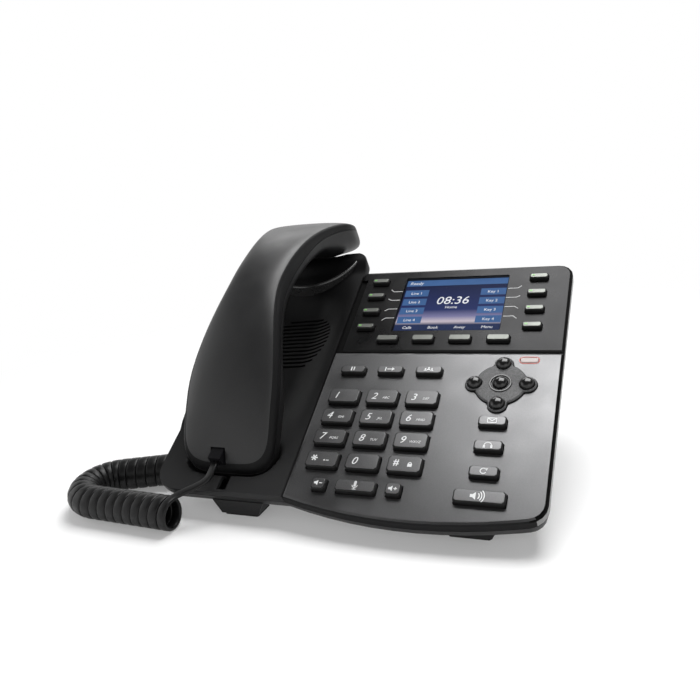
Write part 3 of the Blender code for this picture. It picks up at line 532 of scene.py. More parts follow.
plug_low, plug_high = face_box("handset_plug")
jack_low, jack_high = face_box("base_plug")
out_dir = -ALONG
lead_a = on_face((plug_low.x + plug_high.x) / 2.0, plug_low.y - PLUG_GAP, (plug_low.z + plug_high.z) / 2.0)
lead_b = on_face(jack_low.x - PLUG_GAP, (jack_low.y + jack_high.y) / 2.0, (jack_low.z + jack_high.z) / 2.0)
coil_count = round(curls_to(COIL_RUN) * CURL_POINTS)
runs = [COIL_RUN * k / coil_count for k in range(coil_count + 1)]
coil = [coil_point(run) for run in runs]
first = lead_a + out_dir * PLUG_STRAIGHT
last = lead_b - ACROSS * JACK_STRAIGHT
enter = (coil[1] - coil[0]).normalized()
leave = (coil[-1] - coil[-2]).normalized()
near_lead = [lead_a, lead_a + out_dir * PLUG_STRAIGHT * 0.5, first]
near_lead += eased(first, out_dir * NEAR_PULL[0], coil[0], enter * NEAR_PULL[1], NEAR_POINTS)
far_lead = eased(coil[-1], leave * FAR_PULL[0], last, ACROSS * FAR_PULL[1], FAR_POINTS)
far_lead += [last, (last + lead_b) / 2.0, lead_b]
cord_path = near_lead + coil + far_lead
first_coil = len(near_lead)
last_coil = first_coil + coil_count


def ahead_at(k):
    return (cord_path[min(k + 1, len(cord_path) - 1)] - cord_path[max(k - 1, 0)]).normalized()


def square_to(way, ahead):
    return (way - ahead * way.dot(ahead)).normalized()


wide_way = [None] * len(cord_path)
for k in range(first_coil, last_coil + 1):
    heading = coil_axis(runs[k - first_coil])[1]
    wide_way[k] = square_to(Vector((cos(heading), sin(heading), 0.0)), ahead_at(k))
for k in range(first_coil - 1, -1, -1):
    wide_way[k] = square_to(wide_way[k + 1], ahead_at(k))
for k in range(last_coil + 1, len(cord_path)):
    wide_way[k] = square_to(wide_way[k - 1], ahead_at(k))


def jacket_size(k):
    run = runs[max(0, min(coil_count, k - first_coil))]
    wound = smooth_step(min(run, COIL_RUN - run) / COIL_PITCH)
    before, after = coil_sides(run)
    wide = LEAD_WIDE + (before + after - LEAD_WIDE) * wound
    return wide / 2.0, (after - before) / 2.0 * wound


def flat_round(half_a, half_b):
    turns = [2.0 * pi * k / RIBBON_POINTS for k in range(RIBBON_POINTS)]
    return [(half_a * powered(cos(a), RIBBON_POWER), half_b * powered(sin(a), RIBBON_POWER)) for a in turns]


cord_rings = []
for k, point in enumerate(cord_path):
    up = ahead_at(k).cross(wide_way[k])
    half_wide, shift = jacket_size(k)
    section = flat_round(half_wide, RIBBON_DEEP / 2.0)
    cord_rings.append([point + wide_way[k] * (a + shift) + up * b for a, b in section])
cord = loose_piece("curly_cord", *loft(cord_rings), "handset_cord", cord_black, True)
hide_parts("handset_cord")
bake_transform(cord)

# Handset: two shells on fine rings, with a drooping ear end and a raised seam; s runs from mouth to ear
HAND_MIDDLE = Vector(((HAND_LOW.x + HAND_HIGH.x) / 2.0, (HAND_LOW.y + HAND_HIGH.y) / 2.0, FACE_W))
HAND_L = 107.5
MOUTH_L = 104.3
HAND_STRAIGHT = 81.0
HAND_MID = 18.3
HAND_EAR = 31.0
HAND_MOUTH = 29.6
MOUTH_FLARE_S = 72.0
EAR_FLARE_S = 85.0
EAR_FLARE_POWER = 2.4
HAND_APEX = 40.6
HAND_ARCH = 46.2
HAND_DROP = HAND_ARCH / HAND_L ** 2
HAND_LEAN = 0.02
EAR_DROOP_S = 70.0
EAR_FALL = 8.0
EAR_DROOP = EAR_FALL / (HAND_L - EAR_DROOP_S) ** 2
SEAM_RISE = 3.5
SEAM_S = 15.0
SEAM_OVER = 45.0
REAR_HIGH = 11.5
REAR_EAR_FALL = 1.0
REAR_MOUTH_FALL = 4.0
GRIP_DEEP = 8.0
EAR_CUP = 18.0
MOUTH_CUP = 15.0
CUP_S = 48.0
CUP_OVER = 22.0
CUP_TAPER = 8.0
CUP_TAPER_S = 72.0
EAR_END_POWER = 2.3
MOUTH_END_POWER = 4.0
REAR_POWER = 6.5
MOUTH_REAR_POWER = 4.0
REAR_POWER_OVER = 50.0
FRONT_POWER = 4.0
HAND_WALL = 2.0
SHELL_GAP = 0.35
CROWN_DOME = 0.2
SHADED_RIM_SHARE = 0.91
HAND_RINGS = 26
SIDE_POINTS = 40
END_POINTS = 28
EAR_S = 79.0
EAR_HOLES = 6
EAR_HOLES_R = 7.0
MOUTH_S = -76.0
MOUTH_HOLES_X = (-5.0, 0.0, 5.0)
HOLE_R = 1.3
ROD_POINTS = 16
HOLE_LOW = FACE_W - 14.0
HOLE_HIGH = FACE_W + 20.0
SOCKET_ROOM = Vector((0.8, 8.0, 0.8))


def hand_half(s):
    if s < 0.0:
        return HAND_MID + (HAND_MOUTH - HAND_MID) * smooth_step(-s / MOUTH_FLARE_S)
    return HAND_MID + (HAND_EAR - HAND_MID) * min(1.0, s / EAR_FLARE_S) ** EAR_FLARE_POWER


def seam_rise(s):
    return SEAM_RISE * smooth_step((s - SEAM_S) / SEAM_OVER)


def hand_arch(s):
    droop = EAR_DROOP * max(0.0, s - EAR_DROOP_S) ** 2
    return HAND_APEX - HAND_DROP * s * s + HAND_LEAN * s - droop + seam_rise(s)


def rear_high(s):
    fall = REAR_EAR_FALL if s > 0.0 else REAR_MOUTH_FALL
    return REAR_HIGH - fall * (s / HAND_L) ** 2 - seam_rise(s)


def front_deep(s):
    cup = EAR_CUP if s > 0.0 else MOUTH_CUP
    taper = CUP_TAPER * (max(0.0, abs(s) - CUP_TAPER_S) / (HAND_L - CUP_TAPER_S)) ** 2
    return GRIP_DEEP + (cup - GRIP_DEEP) * smooth_step((abs(s) - CUP_S) / CUP_OVER) - taper + seam_rise(s)


def rear_power(s):
    return REAR_POWER + (MOUTH_REAR_POWER - REAR_POWER) * smooth_step(-s / REAR_POWER_OVER)


def front_power(_):
    return FRONT_POWER


def end_length(s):
    return HAND_L if s > 0.0 else MOUTH_L


def end_power(s):
    return EAR_END_POWER if s > 0.0 else MOUTH_END_POWER


def on_straight(s):
    return max(-HAND_STRAIGHT, min(HAND_STRAIGHT, s))


def hand_outline(shrink):
    points = []
    for way in (1, -1):
        power = 2.0 / end_power(way)
        for k in range(SIDE_POINTS):
            s = way * HAND_STRAIGHT * (2.0 * k / SIDE_POINTS - 1.0)
            points.append((way * (hand_half(s) - shrink), s))
        half = hand_half(way * HAND_STRAIGHT) - shrink
        for k in range(END_POINTS):
            a = pi * k / END_POINTS
            reach = (end_length(way) - HAND_STRAIGHT - shrink) * sin(a) ** power
            points.append((way * powered(cos(a), power) * half, way * (HAND_STRAIGHT + reach)))
    return points


def outline_share(x, s, room):
    half = hand_half(on_straight(s)) + room
    past = max(0.0, abs(s) - HAND_STRAIGHT) / (end_length(s) + room - HAND_STRAIGHT)
    power = end_power(s)
    return ((abs(x) / half) ** power + past ** power) ** (1.0 / power)


def bowl_rings(way, power, depth, shrink, dome):
    rings = []
    outline = hand_outline(shrink)
    for i in range(HAND_RINGS + 1):
        r = max(0.0, cos(pi / 2.0 * i / HAND_RINGS))
        ring = []
        for x, s in outline:
            anchor = on_straight(s)
            along = anchor + (s - anchor) * r
            lift = (1.0 - r ** power(along)) ** (1.0 / power(along)) * (1.0 - dome * r * r)
            w = hand_arch(along) + way * (SHELL_GAP / 2.0 + (depth(along) - shrink) * lift)
            ring.append(on_face(*(HAND_MIDDLE + Vector((x * r, along, w)))))
        rings.append(ring)
    return rings


def shell(name, node, way, power, depth, dome, finish):
    outer = bowl_rings(way, power, depth, 0.0, dome)
    inner = bowl_rings(way, power, depth, HAND_WALL, dome)
    obj = piece(name, *loft(outer[::-1] + inner, False), node, finish, True)
    # Second slot: the rim band's painted shade
    obj.data.materials.append(rim_shade_black)
    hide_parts(node)
    return obj


def face_block(low, high):
    ring = ((low[0], low[1]), (high[0], low[1]), (high[0], high[1]), (low[0], high[1]))
    return loft([[on_face(x, y, w) for x, y in ring] for w in (low[2], high[2])])


def face_rod(x, y, radius, w0, w1):
    return loft([[on_face(a, b, w) for a, b in circle(x, y, radius, ROD_POINTS)] for w in (w0, w1)])


rear = shell("handset_rear", "handset_rear_shell", 1, rear_power, rear_high, CROWN_DOME, hand_black)
front = shell("handset_front", "handset_front_shell", -1, front_power, front_deep, 0.0, cup_shade_black)
carve(rear, [face_block(plug_low - SOCKET_ROOM, plug_high + SOCKET_ROOM)])
hole_spots = circle(0.0, EAR_S, EAR_HOLES_R, EAR_HOLES) + [(0.0, EAR_S)]
hole_spots += [(x, MOUTH_S) for x in MOUTH_HOLES_X]
carve(front, [face_rod(HAND_MIDDLE.x + x, HAND_MIDDLE.y + s, HOLE_R, HOLE_LOW, HOLE_HIGH)
              for x, s in hole_spots])
crisp(rear)
crisp(front)

# Painted shade: a darker band round the rear shell's edge stands in for its shaded flank
for face in rear.data.polygons:
    middle = face.center / MM
    share = outline_share(middle.x - HAND_MIDDLE.x, middle.dot(ALONG) - HAND_MIDDLE.y, 0.0)
    face.material_index = 1 if share > SHADED_RIM_SHARE else 0

# Cradle: the solid's own surface on a finer grid, with softer edges round the handset's nest
SPLIT_Y = 113.2
FACE_Y = PANEL_HIGH.y - SPLIT_Y
FRONT_Y = 10.2
PANEL_TOP_Y = 186.4
CRADLE_RISE = 17.5
CRADLE_TOP_Y = PANEL_TOP_Y + CRADLE_RISE
CRADLE_CORNER = 16.0
CRADLE_TOP_X = -35.0
CRADLE_TOP_POWER = 4
CRADLE_LEFT_X = -110.5
SEAM_X = -25.0
CRADLE_GAP = 0.35
PARTING_W = -6.0
PLATE = 2.4
EDGE_W = -0.6
EDGE_TILT = 2.0
EDGE_TILT_X = 20.0
VALLEY = 9.0
VALLEY_SIDE = 0.3
VALLEY_FRONT = 4.0
VALLEY_FRONT_OVER = 80.0
VALLEY_BACK_Y = 150.0
VALLEY_BACK_OVER = 36.0
VALLEY_BACK_SHARE = 0.9
TOP_RIM = 4.0
TOP_RIM_Y = CRADLE_TOP_Y - 18.0
TOP_RIM_OVER = 12.0
NEST_GAP = 0.8
NEST_SIDE = 1.2
NEST_SLOPE = 2.5
NEST_BLEND = 1.2
CRADLE_X = 64
CRADLE_Y = 140
CRADLE_CREASE = 40.0
EDGE_DROP = 0.7
EDGE_REACH = 0.06
EDGE_FINER = 6.0
HAND_X = HAND_MIDDLE.x
HAND_Y = HAND_MIDDLE.y - FACE_Y
SPEAKER_X = -60.0
SPEAKER_Y = 130.0
SPEAKER_R = 24.0
SLOTS = 13
SLOT_PITCH = 3.4
SLOT_HALF = 0.8
HOOK_Y = HAND_Y - HAND_L + 32.5
HOOK_HALF_X = 4.85
HOOK_HALF_Y = 2.85
NOTCH_X = HAND_X + 2.1
NOTCH_HALF = 3.0
NOTCH_LOW_Y = FRONT_Y + 1.8
NOTCH_HIGH_Y = FRONT_Y + 12.8
CUT_W = (-30.0, 10.0)


def cradle_left(y):
    past = max(0.0, FRONT_Y + CRADLE_CORNER - y, y - CRADLE_TOP_Y + CRADLE_CORNER)
    return CRADLE_LEFT_X + CRADLE_CORNER - sqrt(max(0.0, CRADLE_CORNER ** 2 - past ** 2))


def cradle_right(y):
    past = max(0.0, y - PANEL_TOP_Y) / CRADLE_RISE
    return SEAM_X - (SEAM_X - CRADLE_TOP_X) * (1.0 - sqrt(max(0.0, 1.0 - past ** CRADLE_TOP_POWER)))


def nest_w(x, s):
    r = outline_share(x, s, NEST_SIDE)
    half = hand_half(on_straight(s)) + NEST_SIDE
    lift = (1.0 - min(1.0, r) ** FRONT_POWER) ** (1.0 / FRONT_POWER)
    at = max(-HAND_L, min(HAND_L, s))
    return hand_arch(at) - front_deep(at) * lift - NEST_GAP + max(0.0, r - 1.0) * half * NEST_SLOPE


def soft_least(a, b, blend):
    t = max(0.0, min(1.0, 0.5 + 0.5 * (b - a) / blend))
    return b + (a - b) * t - blend * t * (1.0 - t)


def cradle_w(x, y):
    left = cradle_left(y)
    right = cradle_right(y)
    edge = EDGE_W - EDGE_TILT * smooth_step((HAND_X + EDGE_TILT_X - x) / (2.0 * EDGE_TILT_X))
    t = (x - HAND_X) / (right - HAND_X) if x > HAND_X else (HAND_X - x) / (HAND_X - left)
    across = 1.0 - smooth_step((t - VALLEY_SIDE) / (1.0 - VALLEY_SIDE))
    along = smooth_step((y - FRONT_Y - VALLEY_FRONT) / VALLEY_FRONT_OVER)
    along *= 1.0 - VALLEY_BACK_SHARE * smooth_step((y - VALLEY_BACK_Y) / VALLEY_BACK_OVER)
    rim = TOP_RIM * smooth_step((y - TOP_RIM_Y) / TOP_RIM_OVER)
    return soft_least(edge + rim - VALLEY * across * along, nest_w(x - HAND_X, y - HAND_Y), NEST_BLEND)


def on_deck(x, y, w):
    return on_face(x, y + FACE_Y, w + FACE_W)


def eased_share(k, count):
    t = k / count
    edge = EDGE_REACH / EDGE_FINER
    if t < EDGE_REACH:
        return edge * t / EDGE_REACH + (t - edge * t / EDGE_REACH) * (t / EDGE_REACH)
    if t > 1.0 - EDGE_REACH:
        return 1.0 - eased_share(count - k, count)
    return t


def cradle_skin():
    top = []
    low = []
    for j in range(CRADLE_Y + 1):
        y = FRONT_Y + (CRADLE_TOP_Y - FRONT_Y) * eased_share(j, CRADLE_Y)
        left = cradle_left(y)
        right = cradle_right(y) - CRADLE_GAP
        for i in range(CRADLE_X + 1):
            x = left + (right - left) * eased_share(i, CRADLE_X)
            outermost = i in (0, CRADLE_X) or j in (0, CRADLE_Y)
            w = cradle_w(x, y)
            top.append(on_deck(x, y, w - EDGE_DROP if outermost else w))
            low.append(on_deck(x, y, PARTING_W + CRADLE_GAP if outermost else w - PLATE))
    row = CRADLE_X + 1
    layer = len(top)
    faces = []
    for j in range(CRADLE_Y):
        for i in range(CRADLE_X):
            k = j * row + i
            faces.append([k, k + 1, k + row + 1, k + row])
            faces.append([layer + k, layer + k + row, layer + k + row + 1, layer + k + 1])
    border = list(range(row))
    border += [j * row + CRADLE_X for j in range(1, CRADLE_Y + 1)]
    border += [CRADLE_Y * row + i for i in range(CRADLE_X - 1, -1, -1)]
    border += [j * row for j in range(CRADLE_Y - 1, 0, -1)]
    for k in range(len(border)):
        a = border[k]
        b = border[(k + 1) % len(border)]
        faces.append([a, layer + a, layer + b, b])
    return top + low, faces


def deck_block(x, half, y0, y1):
    ring = ((x - half, y0), (x + half, y0), (x + half, y1), (x - half, y1))
    return loft([[on_deck(a, b, w) for a, b in ring] for w in CUT_W])


cradle = piece("cradle_skin", *cradle_skin(), "cradle", cradle_black, True)
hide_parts("cradle")
cradle_cuts = [deck_block(HAND_X, HOOK_HALF_X, HOOK_Y - HOOK_HALF_Y, HOOK_Y + HOOK_HALF_Y),
               deck_block(NOTCH_X, NOTCH_HALF, NOTCH_LOW_Y, NOTCH_HIGH_Y)]
for k in range(SLOTS):
    y = SPEAKER_Y + (k - (SLOTS - 1) / 2) * SLOT_PITCH
    half = sqrt(SPEAKER_R ** 2 - (y - SPEAKER_Y) ** 2)
    cradle_cuts.append(deck_block(SPEAKER_X, half, y - SLOT_HALF, y + SLOT_HALF))
carve(cradle, cradle_cuts)
crisp(cradle, CRADLE_CREASE)

# Raised half-ring round the ear cup
LIP_Y = HAND_Y + HAND_L - 30.5
LIP_R = 34.0
LIP_HALF = 1.3
LIP_TOP = 3.0
LIP_SIDE = LIP_TOP - 0.9
LIP_ROOT = 1.5
LIP_START = -165.0
LIP_SWEEP = 150.0
LIP_STEPS = 48
LIP_CREASE = 30.0
lip_rings = []
for k in range(LIP_STEPS + 1):
    a = radians(LIP_START + LIP_SWEEP * k / LIP_STEPS)
    x = HAND_X + LIP_R * cos(a)
    y = LIP_Y + LIP_R * sin(a)
    low = cradle_w(x, y) - LIP_ROOT
    shape = ((-LIP_HALF, low), (LIP_HALF, low), (LIP_HALF, LIP_SIDE), (0.8, LIP_TOP - 0.2),
             (0.2, LIP_TOP), (-0.5, LIP_TOP - 0.1), (-LIP_HALF, LIP_SIDE))
    lip_rings.append([on_deck(x + d * cos(a), y + d * sin(a), w) for d, w in shape])
lip = piece("ear_lip", *loft(lip_rings), "cradle", lip_black, True)
crisp(lip, LIP_CREASE)

# Printed and inlaid marks: thin plates drawn in the plane of a face
INK = 0.04
INK_ROOT = -0.01
DOT_POINTS = 20
ARC_STEPS = 14
CAP_SHARE = 0.72
FONT_STEPS = 3


def prism(points, high=INK):
    return loft([[(x, y, w) for x, y in points] for w in (INK_ROOT, high)])


def slab(x, y, wide, deep, high=INK):
    a = wide / 2
    b = deep / 2
    return prism([(x - a, y - b), (x + a, y - b), (x + a, y + b), (x - a, y + b)], high)


def dot(x, y, radius):
    return prism(circle(x, y, radius, DOT_POINTS))


def bar(x0, y0, x1, y1, wide):
    way = Vector((x1 - x0, y1 - y0)).normalized() * wide / 2.0
    side = (-way.y, way.x)
    return prism([(x0 - side[0], y0 - side[1]), (x1 - side[0], y1 - side[1]),
                  (x1 + side[0], y1 + side[1]), (x0 + side[0], y0 + side[1])])


def arc(x, y, radius, start, stop, wide):
    turns = [radians(start + (stop - start) * k / ARC_STEPS) for k in range(ARC_STEPS + 1)]
    near = radius - wide / 2
    far = radius + wide / 2
    strip = []
    for a, b in zip(turns[:-1], turns[1:]):
        corners = ((near, a), (far, a), (far, b), (near, b))
        strip.append(prism([(x + r * cos(t), y + r * sin(t)) for r, t in corners]))
    return merged(strip)


def boxed(x, y, wide, deep, line):
    a = wide / 2.0
    b = deep / 2.0
    past = line / 2
    return merged([bar(x - a - past, y - b, x + a + past, y - b, line),
                   bar(x - a - past, y + b, x + a + past, y + b, line),
                   bar(x - a, y - b, x - a, y + b, line),
                   bar(x + a, y - b, x + a, y + b, line)])


def word(text, cap, x, y, slant=0.0, align="CENTER"):
    data = bpy.data.curves.new("word", "FONT")
    data.body = text
    data.size = cap / CAP_SHARE
    data.shear = slant
    data.align_x = align
    data.resolution_u = FONT_STEPS
    data.extrude = INK / 2.0
    obj = bpy.data.objects.new("word", data)
    mesh = obj.to_mesh()
    verts = [(v.co.x + x, v.co.y + y - cap / 2.0, v.co.z + INK / 2.0) for v in mesh.vertices]
    faces = [list(p.vertices) for p in mesh.polygons]
    obj.to_mesh_clear()
    bpy.data.objects.remove(obj)
    bpy.data.curves.remove(data)
    return verts, faces


def marks(name, node, shapes, mat, origin):
    verts, faces = merged(shapes)
    return piece(name, [on_face(*(origin + Vector(v))) for v in verts], faces, node, mat)


def top_of(node):
    low, high = face_box(node)
    return Vector(((low.x + high.x) / 2.0, (low.y + high.y) / 2.0, high.z))


# Dial digits with their letters
DIGIT_CAP = 4.6
DIGIT_X = -4.4
DIGIT_Y = 0.2
DIGIT_SLANT = 0.25
LETTER_CAP = 1.5
LETTER_X = 2.6
LETTER_Y = -0.9
LETTER_SLANT = 0.2
SIGN_Y = 0.4
STAR_ARM = 1.9
STAR_LINE = 0.7
HASH_LINE = 0.6
HASH_STEPS = (-0.7, 0.7)
letters = {"1": "", "2": "ABC", "3": "DEF", "4": "GHI", "5": "JKL", "6": "MNO", "7": "PQRS", "8": "TUV",
           "9": "WXYZ", "0": ""}
for digit, group in letters.items():
    node = "dial_key_" + digit
    shapes = [word(digit, DIGIT_CAP, DIGIT_X, DIGIT_Y, DIGIT_SLANT)]
    if group:
        shapes.append(word(group, LETTER_CAP, LETTER_X, LETTER_Y, LETTER_SLANT))
    marks("digit_" + digit, node, shapes, white_ink, top_of(node))
star = []
for a in (0.0, pi / 3.0, 2.0 * pi / 3.0):
    reach_x = STAR_ARM * cos(a)
    reach_y = STAR_ARM * sin(a)
    star.append(bar(DIGIT_X - reach_x, SIGN_Y - reach_y, DIGIT_X + reach_x, SIGN_Y + reach_y, STAR_LINE))
star += [dot(1.6, -0.8, 0.45), bar(2.6, -0.8, 4.2, -0.8, 0.45)]
marks("digit_star", "dial_key_star", star, white_ink, top_of("dial_key_star"))
hash_sign = [bar(-5.9, SIGN_Y + d, -2.9, SIGN_Y + d, HASH_LINE) for d in HASH_STEPS]
hash_sign += [bar(-4.7 + d, -1.6, -4.1 + d, 2.4, HASH_LINE) for d in HASH_STEPS]
lock = [slab(3.0, -0.7, 2.4, 1.8), arc(3.0, 0.2, 0.8, 0.0, 180.0, 0.4)]
marks("digit_hash", "dial_key_hash", hash_sign + lock, white_ink, top_of("dial_key_hash"))


# Signs on the other keys
def wedge(x, y, size):
    return [prism([(x - size, y - 0.4 * size), (x - 0.4 * size, y - 0.4 * size), (x + 0.3 * size, y - size),
                   (x + 0.3 * size, y + size), (x - 0.4 * size, y + 0.4 * size), (x - size, y + 0.4 * size)])]


def person(x, y, size):
    return [dot(x, y + 0.9 * size, 0.55 * size), arc(x, y - 0.7 * size, 0.6 * size, 0.0, 180.0, 0.7 * size)]


signs = {
    "hold_key": [bar(-0.8, -1.4, -0.8, 1.4, 0.7), bar(0.8, -1.4, 0.8, 1.4, 0.7)],
    "transfer_key": [bar(-2.6, -1.4, -2.6, 1.4, 0.6), bar(-1.6, 0.0, 1.4, 0.0, 0.6),
                     prism([(1.2, -1.3), (2.9, 0.0), (1.2, 1.3)])],
    "conference_key": person(-1.9, -0.3, 0.9) + person(0.0, 0.2, 1.1) + person(1.9, -0.3, 0.9),
    "volume_down_key": wedge(-0.7, 0.0, 1.6) + [bar(0.6, 0.0, 2.2, 0.0, 0.5)],
    "volume_up_key": wedge(-0.7, 0.0, 1.6) + [bar(0.5, 0.0, 2.3, 0.0, 0.5), bar(1.4, -0.9, 1.4, 0.9, 0.5)],
    "mute_key": [slab(0.0, 1.0, 1.4, 2.0), dot(0.0, 2.0, 0.7), dot(0.0, 0.0, 0.7),
                 arc(0.0, 0.2, 1.4, 180.0, 360.0, 0.4), bar(0.0, -1.2, 0.0, -2.2, 0.4),
                 bar(-1.0, -2.2, 1.0, -2.2, 0.4)],
    "message_key": [boxed(0.0, 0.0, 4.6, 2.8, 0.45), bar(-2.2, 1.3, 0.0, -0.3, 0.45),
                    bar(0.0, -0.3, 2.2, 1.3, 0.45)],
    "headset_key": [arc(0.0, -0.4, 1.9, 0.0, 180.0, 0.45), slab(-1.85, -1.0, 1.1, 1.6),
                    slab(1.85, -1.0, 1.1, 1.6)],
    "redial_key": [arc(0.0, 0.0, 1.5, 40.0, 330.0, 0.5), prism([(0.6, 1.5), (2.2, 1.7), (1.5, 0.1)])],
    "speaker_key": wedge(-2.2, 0.0, 2.1) + [arc(-2.0, 0.0, r, -42.0, 42.0, 0.5) for r in (2.2, 3.4, 4.6)],
}
for node, shapes in signs.items():
    marks(node + "_sign", node, shapes, white_ink, top_of(node))

# Lamps in the line keys
ROWS = 4
LIGHT = slab(0.0, 0.0, 1.8, 1.0, 0.12)
LIGHT_X = 3.0
LIGHT_Y = 0.2
for side in ("left", "right"):
    for k in range(ROWS):
        node = "line_key_" + side + "_" + str(k + 1)
        low, high = face_box(node)
        light_at = Vector((low.x + LIGHT_X, (low.y + high.y) / 2.0 + LIGHT_Y, high.z))
        marks(node + "_light", node, [LIGHT], green_lamp, light_at)

# Lead lines from the line keys to the screen
ROW_STEP = 8.0
ROW_TOP = 11.4
LEAD_LINE = 0.35
LEAD_GAP = 0.8
LEAD_FLAT = 5.8
LEAD_SLOPE = 2.2
LEAD_RISE = 2.0
screen_mid = (SCREEN_LOW + SCREEN_HIGH) / 2.0
screen_wide = SCREEN_HIGH.x - SCREEN_LOW.x
screen_deep = SCREEN_HIGH.y - SCREEN_LOW.y
row_y = [ROW_TOP - ROW_STEP * k for k in range(ROWS)]
lead_lines = []
for way, side in ((-1, "left"), (1, "right")):
    for k in range(ROWS):
        key = top_of("line_key_" + side + "_" + str(k + 1))
        row = screen_mid.y + row_y[k]
        edge = screen_mid.x + way * (screen_wide / 2.0 + LEAD_GAP)
        knee = edge + way * LEAD_FLAT
        end = knee + way * LEAD_SLOPE
        rise = max(-LEAD_RISE, min(LEAD_RISE, (key.y - row) * 0.5))
        lead_lines.append(bar(edge, row, knee, row, LEAD_LINE))
        lead_lines.append(bar(knee, row, end, row + rise, LEAD_LINE))
marks("lead_lines", "display_bezel", lead_lines, white_ink, ON_TOP)

# Screen: a plain generic call page under the window
SCREEN_LIFT = 0.02
SCREEN_RISE = 0.7
SCREEN_SLANT = 0.15
SKY_STRENGTH = 0.75
SKY_STOPS = ((0.0, (0.012, 0.02, 0.06)), (0.16, (0.02, 0.035, 0.1)), (0.22, (0.75, 0.66, 0.74)),
             (0.31, (0.26, 0.25, 0.45)), (0.43, (0.022, 0.032, 0.14)), (1.0, (0.004, 0.006, 0.03)))
TITLE_DEEP = 5.4
TITLE_CAP = 2.6
TITLE_X = 2.0
CLOCK_CAP = 6.8
CLOCK_Y = 4.4
NOTE_Y = -1.8
LABEL_WIDE = 15.5
LABEL_DEEP = 5.8
LABEL_GAP = 0.6
LABEL_CAP = 2.2
FOOT_DEEP = 4.4
FOOT_GAP = 0.8
FOOT_WORDS = ("Calls", "Book", "Away", "Menu")
WORDS_LIFT = 0.05


def screen_gradient():
    mat = glowing("screen_sky", (0.2, 0.3, 0.6), SKY_STRENGTH)
    tree = mat.node_tree
    ramp = tree.nodes.new("ShaderNodeValToRGB")
    tree.links.new(upward(tree), ramp.inputs["Fac"])
    stops = ramp.color_ramp.elements
    stops[0].color = (*SKY_STOPS[0][1], 1.0)
    stops[1].color = (*SKY_STOPS[-1][1], 1.0)
    for position, colour in SKY_STOPS[1:-1]:
        stops.new(position).color = (*colour, 1.0)
    tree.links.new(ramp.outputs["Color"], shader_of(mat).inputs["Emission Color"])
    return mat


screen_blue = glowing("screen_blue", (0.06, 0.14, 0.33))
screen_light = glowing("screen_light", (0.022, 0.035, 0.1))
screen_white = glowing("screen_white", (0.9, 0.92, 0.97))
screen_at = Vector((screen_mid.x, screen_mid.y, face_box("lcd_module")[1].z + SCREEN_LIFT))
page_at = screen_at + Vector((0.0, 0.0, SCREEN_RISE + SCREEN_LIFT))
words_at = page_at + Vector((0.0, 0.0, WORDS_LIFT))
label_x = screen_wide / 2.0 - LABEL_WIDE / 2.0 - LABEL_GAP
title_y = screen_deep / 2.0 - TITLE_DEEP / 2.0
foot_y = -screen_deep / 2.0 + FOOT_DEEP
foot_wide = screen_wide / len(FOOT_WORDS)
foot_x = [(k - (len(FOOT_WORDS) - 1) / 2) * foot_wide for k in range(len(FOOT_WORDS))]
sky = slab(0.0, 0.0, screen_wide, screen_deep, SCREEN_RISE)
marks("screen_sky", "lcd_module", [sky], screen_gradient(), screen_at)
bars = [slab(0.0, title_y, screen_wide, TITLE_DEEP)]
bars += [slab(way * label_x, y, LABEL_WIDE, LABEL_DEEP) for way in (-1, 1) for y in row_y]
marks("screen_bars", "lcd_module", bars, screen_blue, page_at)
foot_slots = [slab(x, foot_y, foot_wide - FOOT_GAP, FOOT_DEEP) for x in foot_x]
marks("screen_foot", "lcd_module", foot_slots, screen_light, page_at)
words = [word("Ready", TITLE_CAP, -screen_wide / 2.0 + TITLE_X, title_y, SCREEN_SLANT, "LEFT"),
         word("08:36", CLOCK_CAP, 0.0, CLOCK_Y, SCREEN_SLANT),
         word("Home", LABEL_CAP, 0.0, NOTE_Y, SCREEN_SLANT)]
for k, y in enumerate(row_y):
    words.append(word("Line " + str(k + 1), LABEL_CAP, -label_x, y))
    words.append(word("Key " + str(k + 1), LABEL_CAP, label_x, y))
for x, text in zip(foot_x, FOOT_WORDS):
    words.append(word(text, LABEL_CAP, x, foot_y, SCREEN_SLANT))
marks("screen_words", "lcd_module", words, screen_white, words_at)

# Trim: an outline round the lamp, a ring round the centre button
PILL_POINTS = 20
LAMP_FLANGE = 0.8
LAMP_ROOM = 1.4
LAMP_LINE = 0.45
LAMP_LINE_HIGH = 0.15
RING_R = 5.6
RING_WIDE = 1.1
RING_HIGH = 0.5
RING_STEPS = 48


def raised_ring(x, y):
    side = RING_WIDE / 2
    brow = 0.25 * RING_WIDE
    shape = ((-side, 0.0), (side, 0.0), (side, 0.6 * RING_HIGH), (brow, RING_HIGH), (-brow, RING_HIGH),
             (-side, 0.6 * RING_HIGH))
    verts = []
    faces = []
    for k in range(RING_STEPS):
        a = 2.0 * pi * k / RING_STEPS
        verts += [(x + (RING_R + d) * cos(a), y + (RING_R + d) * sin(a), w) for d, w in shape]
        here = k * len(shape)
        there = (k + 1) % RING_STEPS * len(shape)
        for i in range(len(shape)):
            n = (i + 1) % len(shape)
            faces.append([here + i, there + i, there + n, here + n])
    return verts, faces


def pill(x, y, wide, deep):
    radius = deep / 2.0
    reach = wide / 2.0 - radius
    turns = [pi * (k / (PILL_POINTS - 1) - 0.5) for k in range(PILL_POINTS)]
    right = [(x + reach + radius * cos(a), y + radius * sin(a)) for a in turns]
    return right + [(x - reach - radius * cos(a), y - radius * sin(a)) for a in turns]


def pill_ring(x, y, wide, deep, line, high):
    outer = pill(x, y, wide, deep)
    inner = pill(x, y, wide - 2 * line, deep - 2 * line)
    levels = ((inner, 0.0), (outer, 0.0), (outer, high), (inner, high), (inner, 0.0))
    return loft([[(a, b, w) for a, b in outline] for outline, w in levels], False)


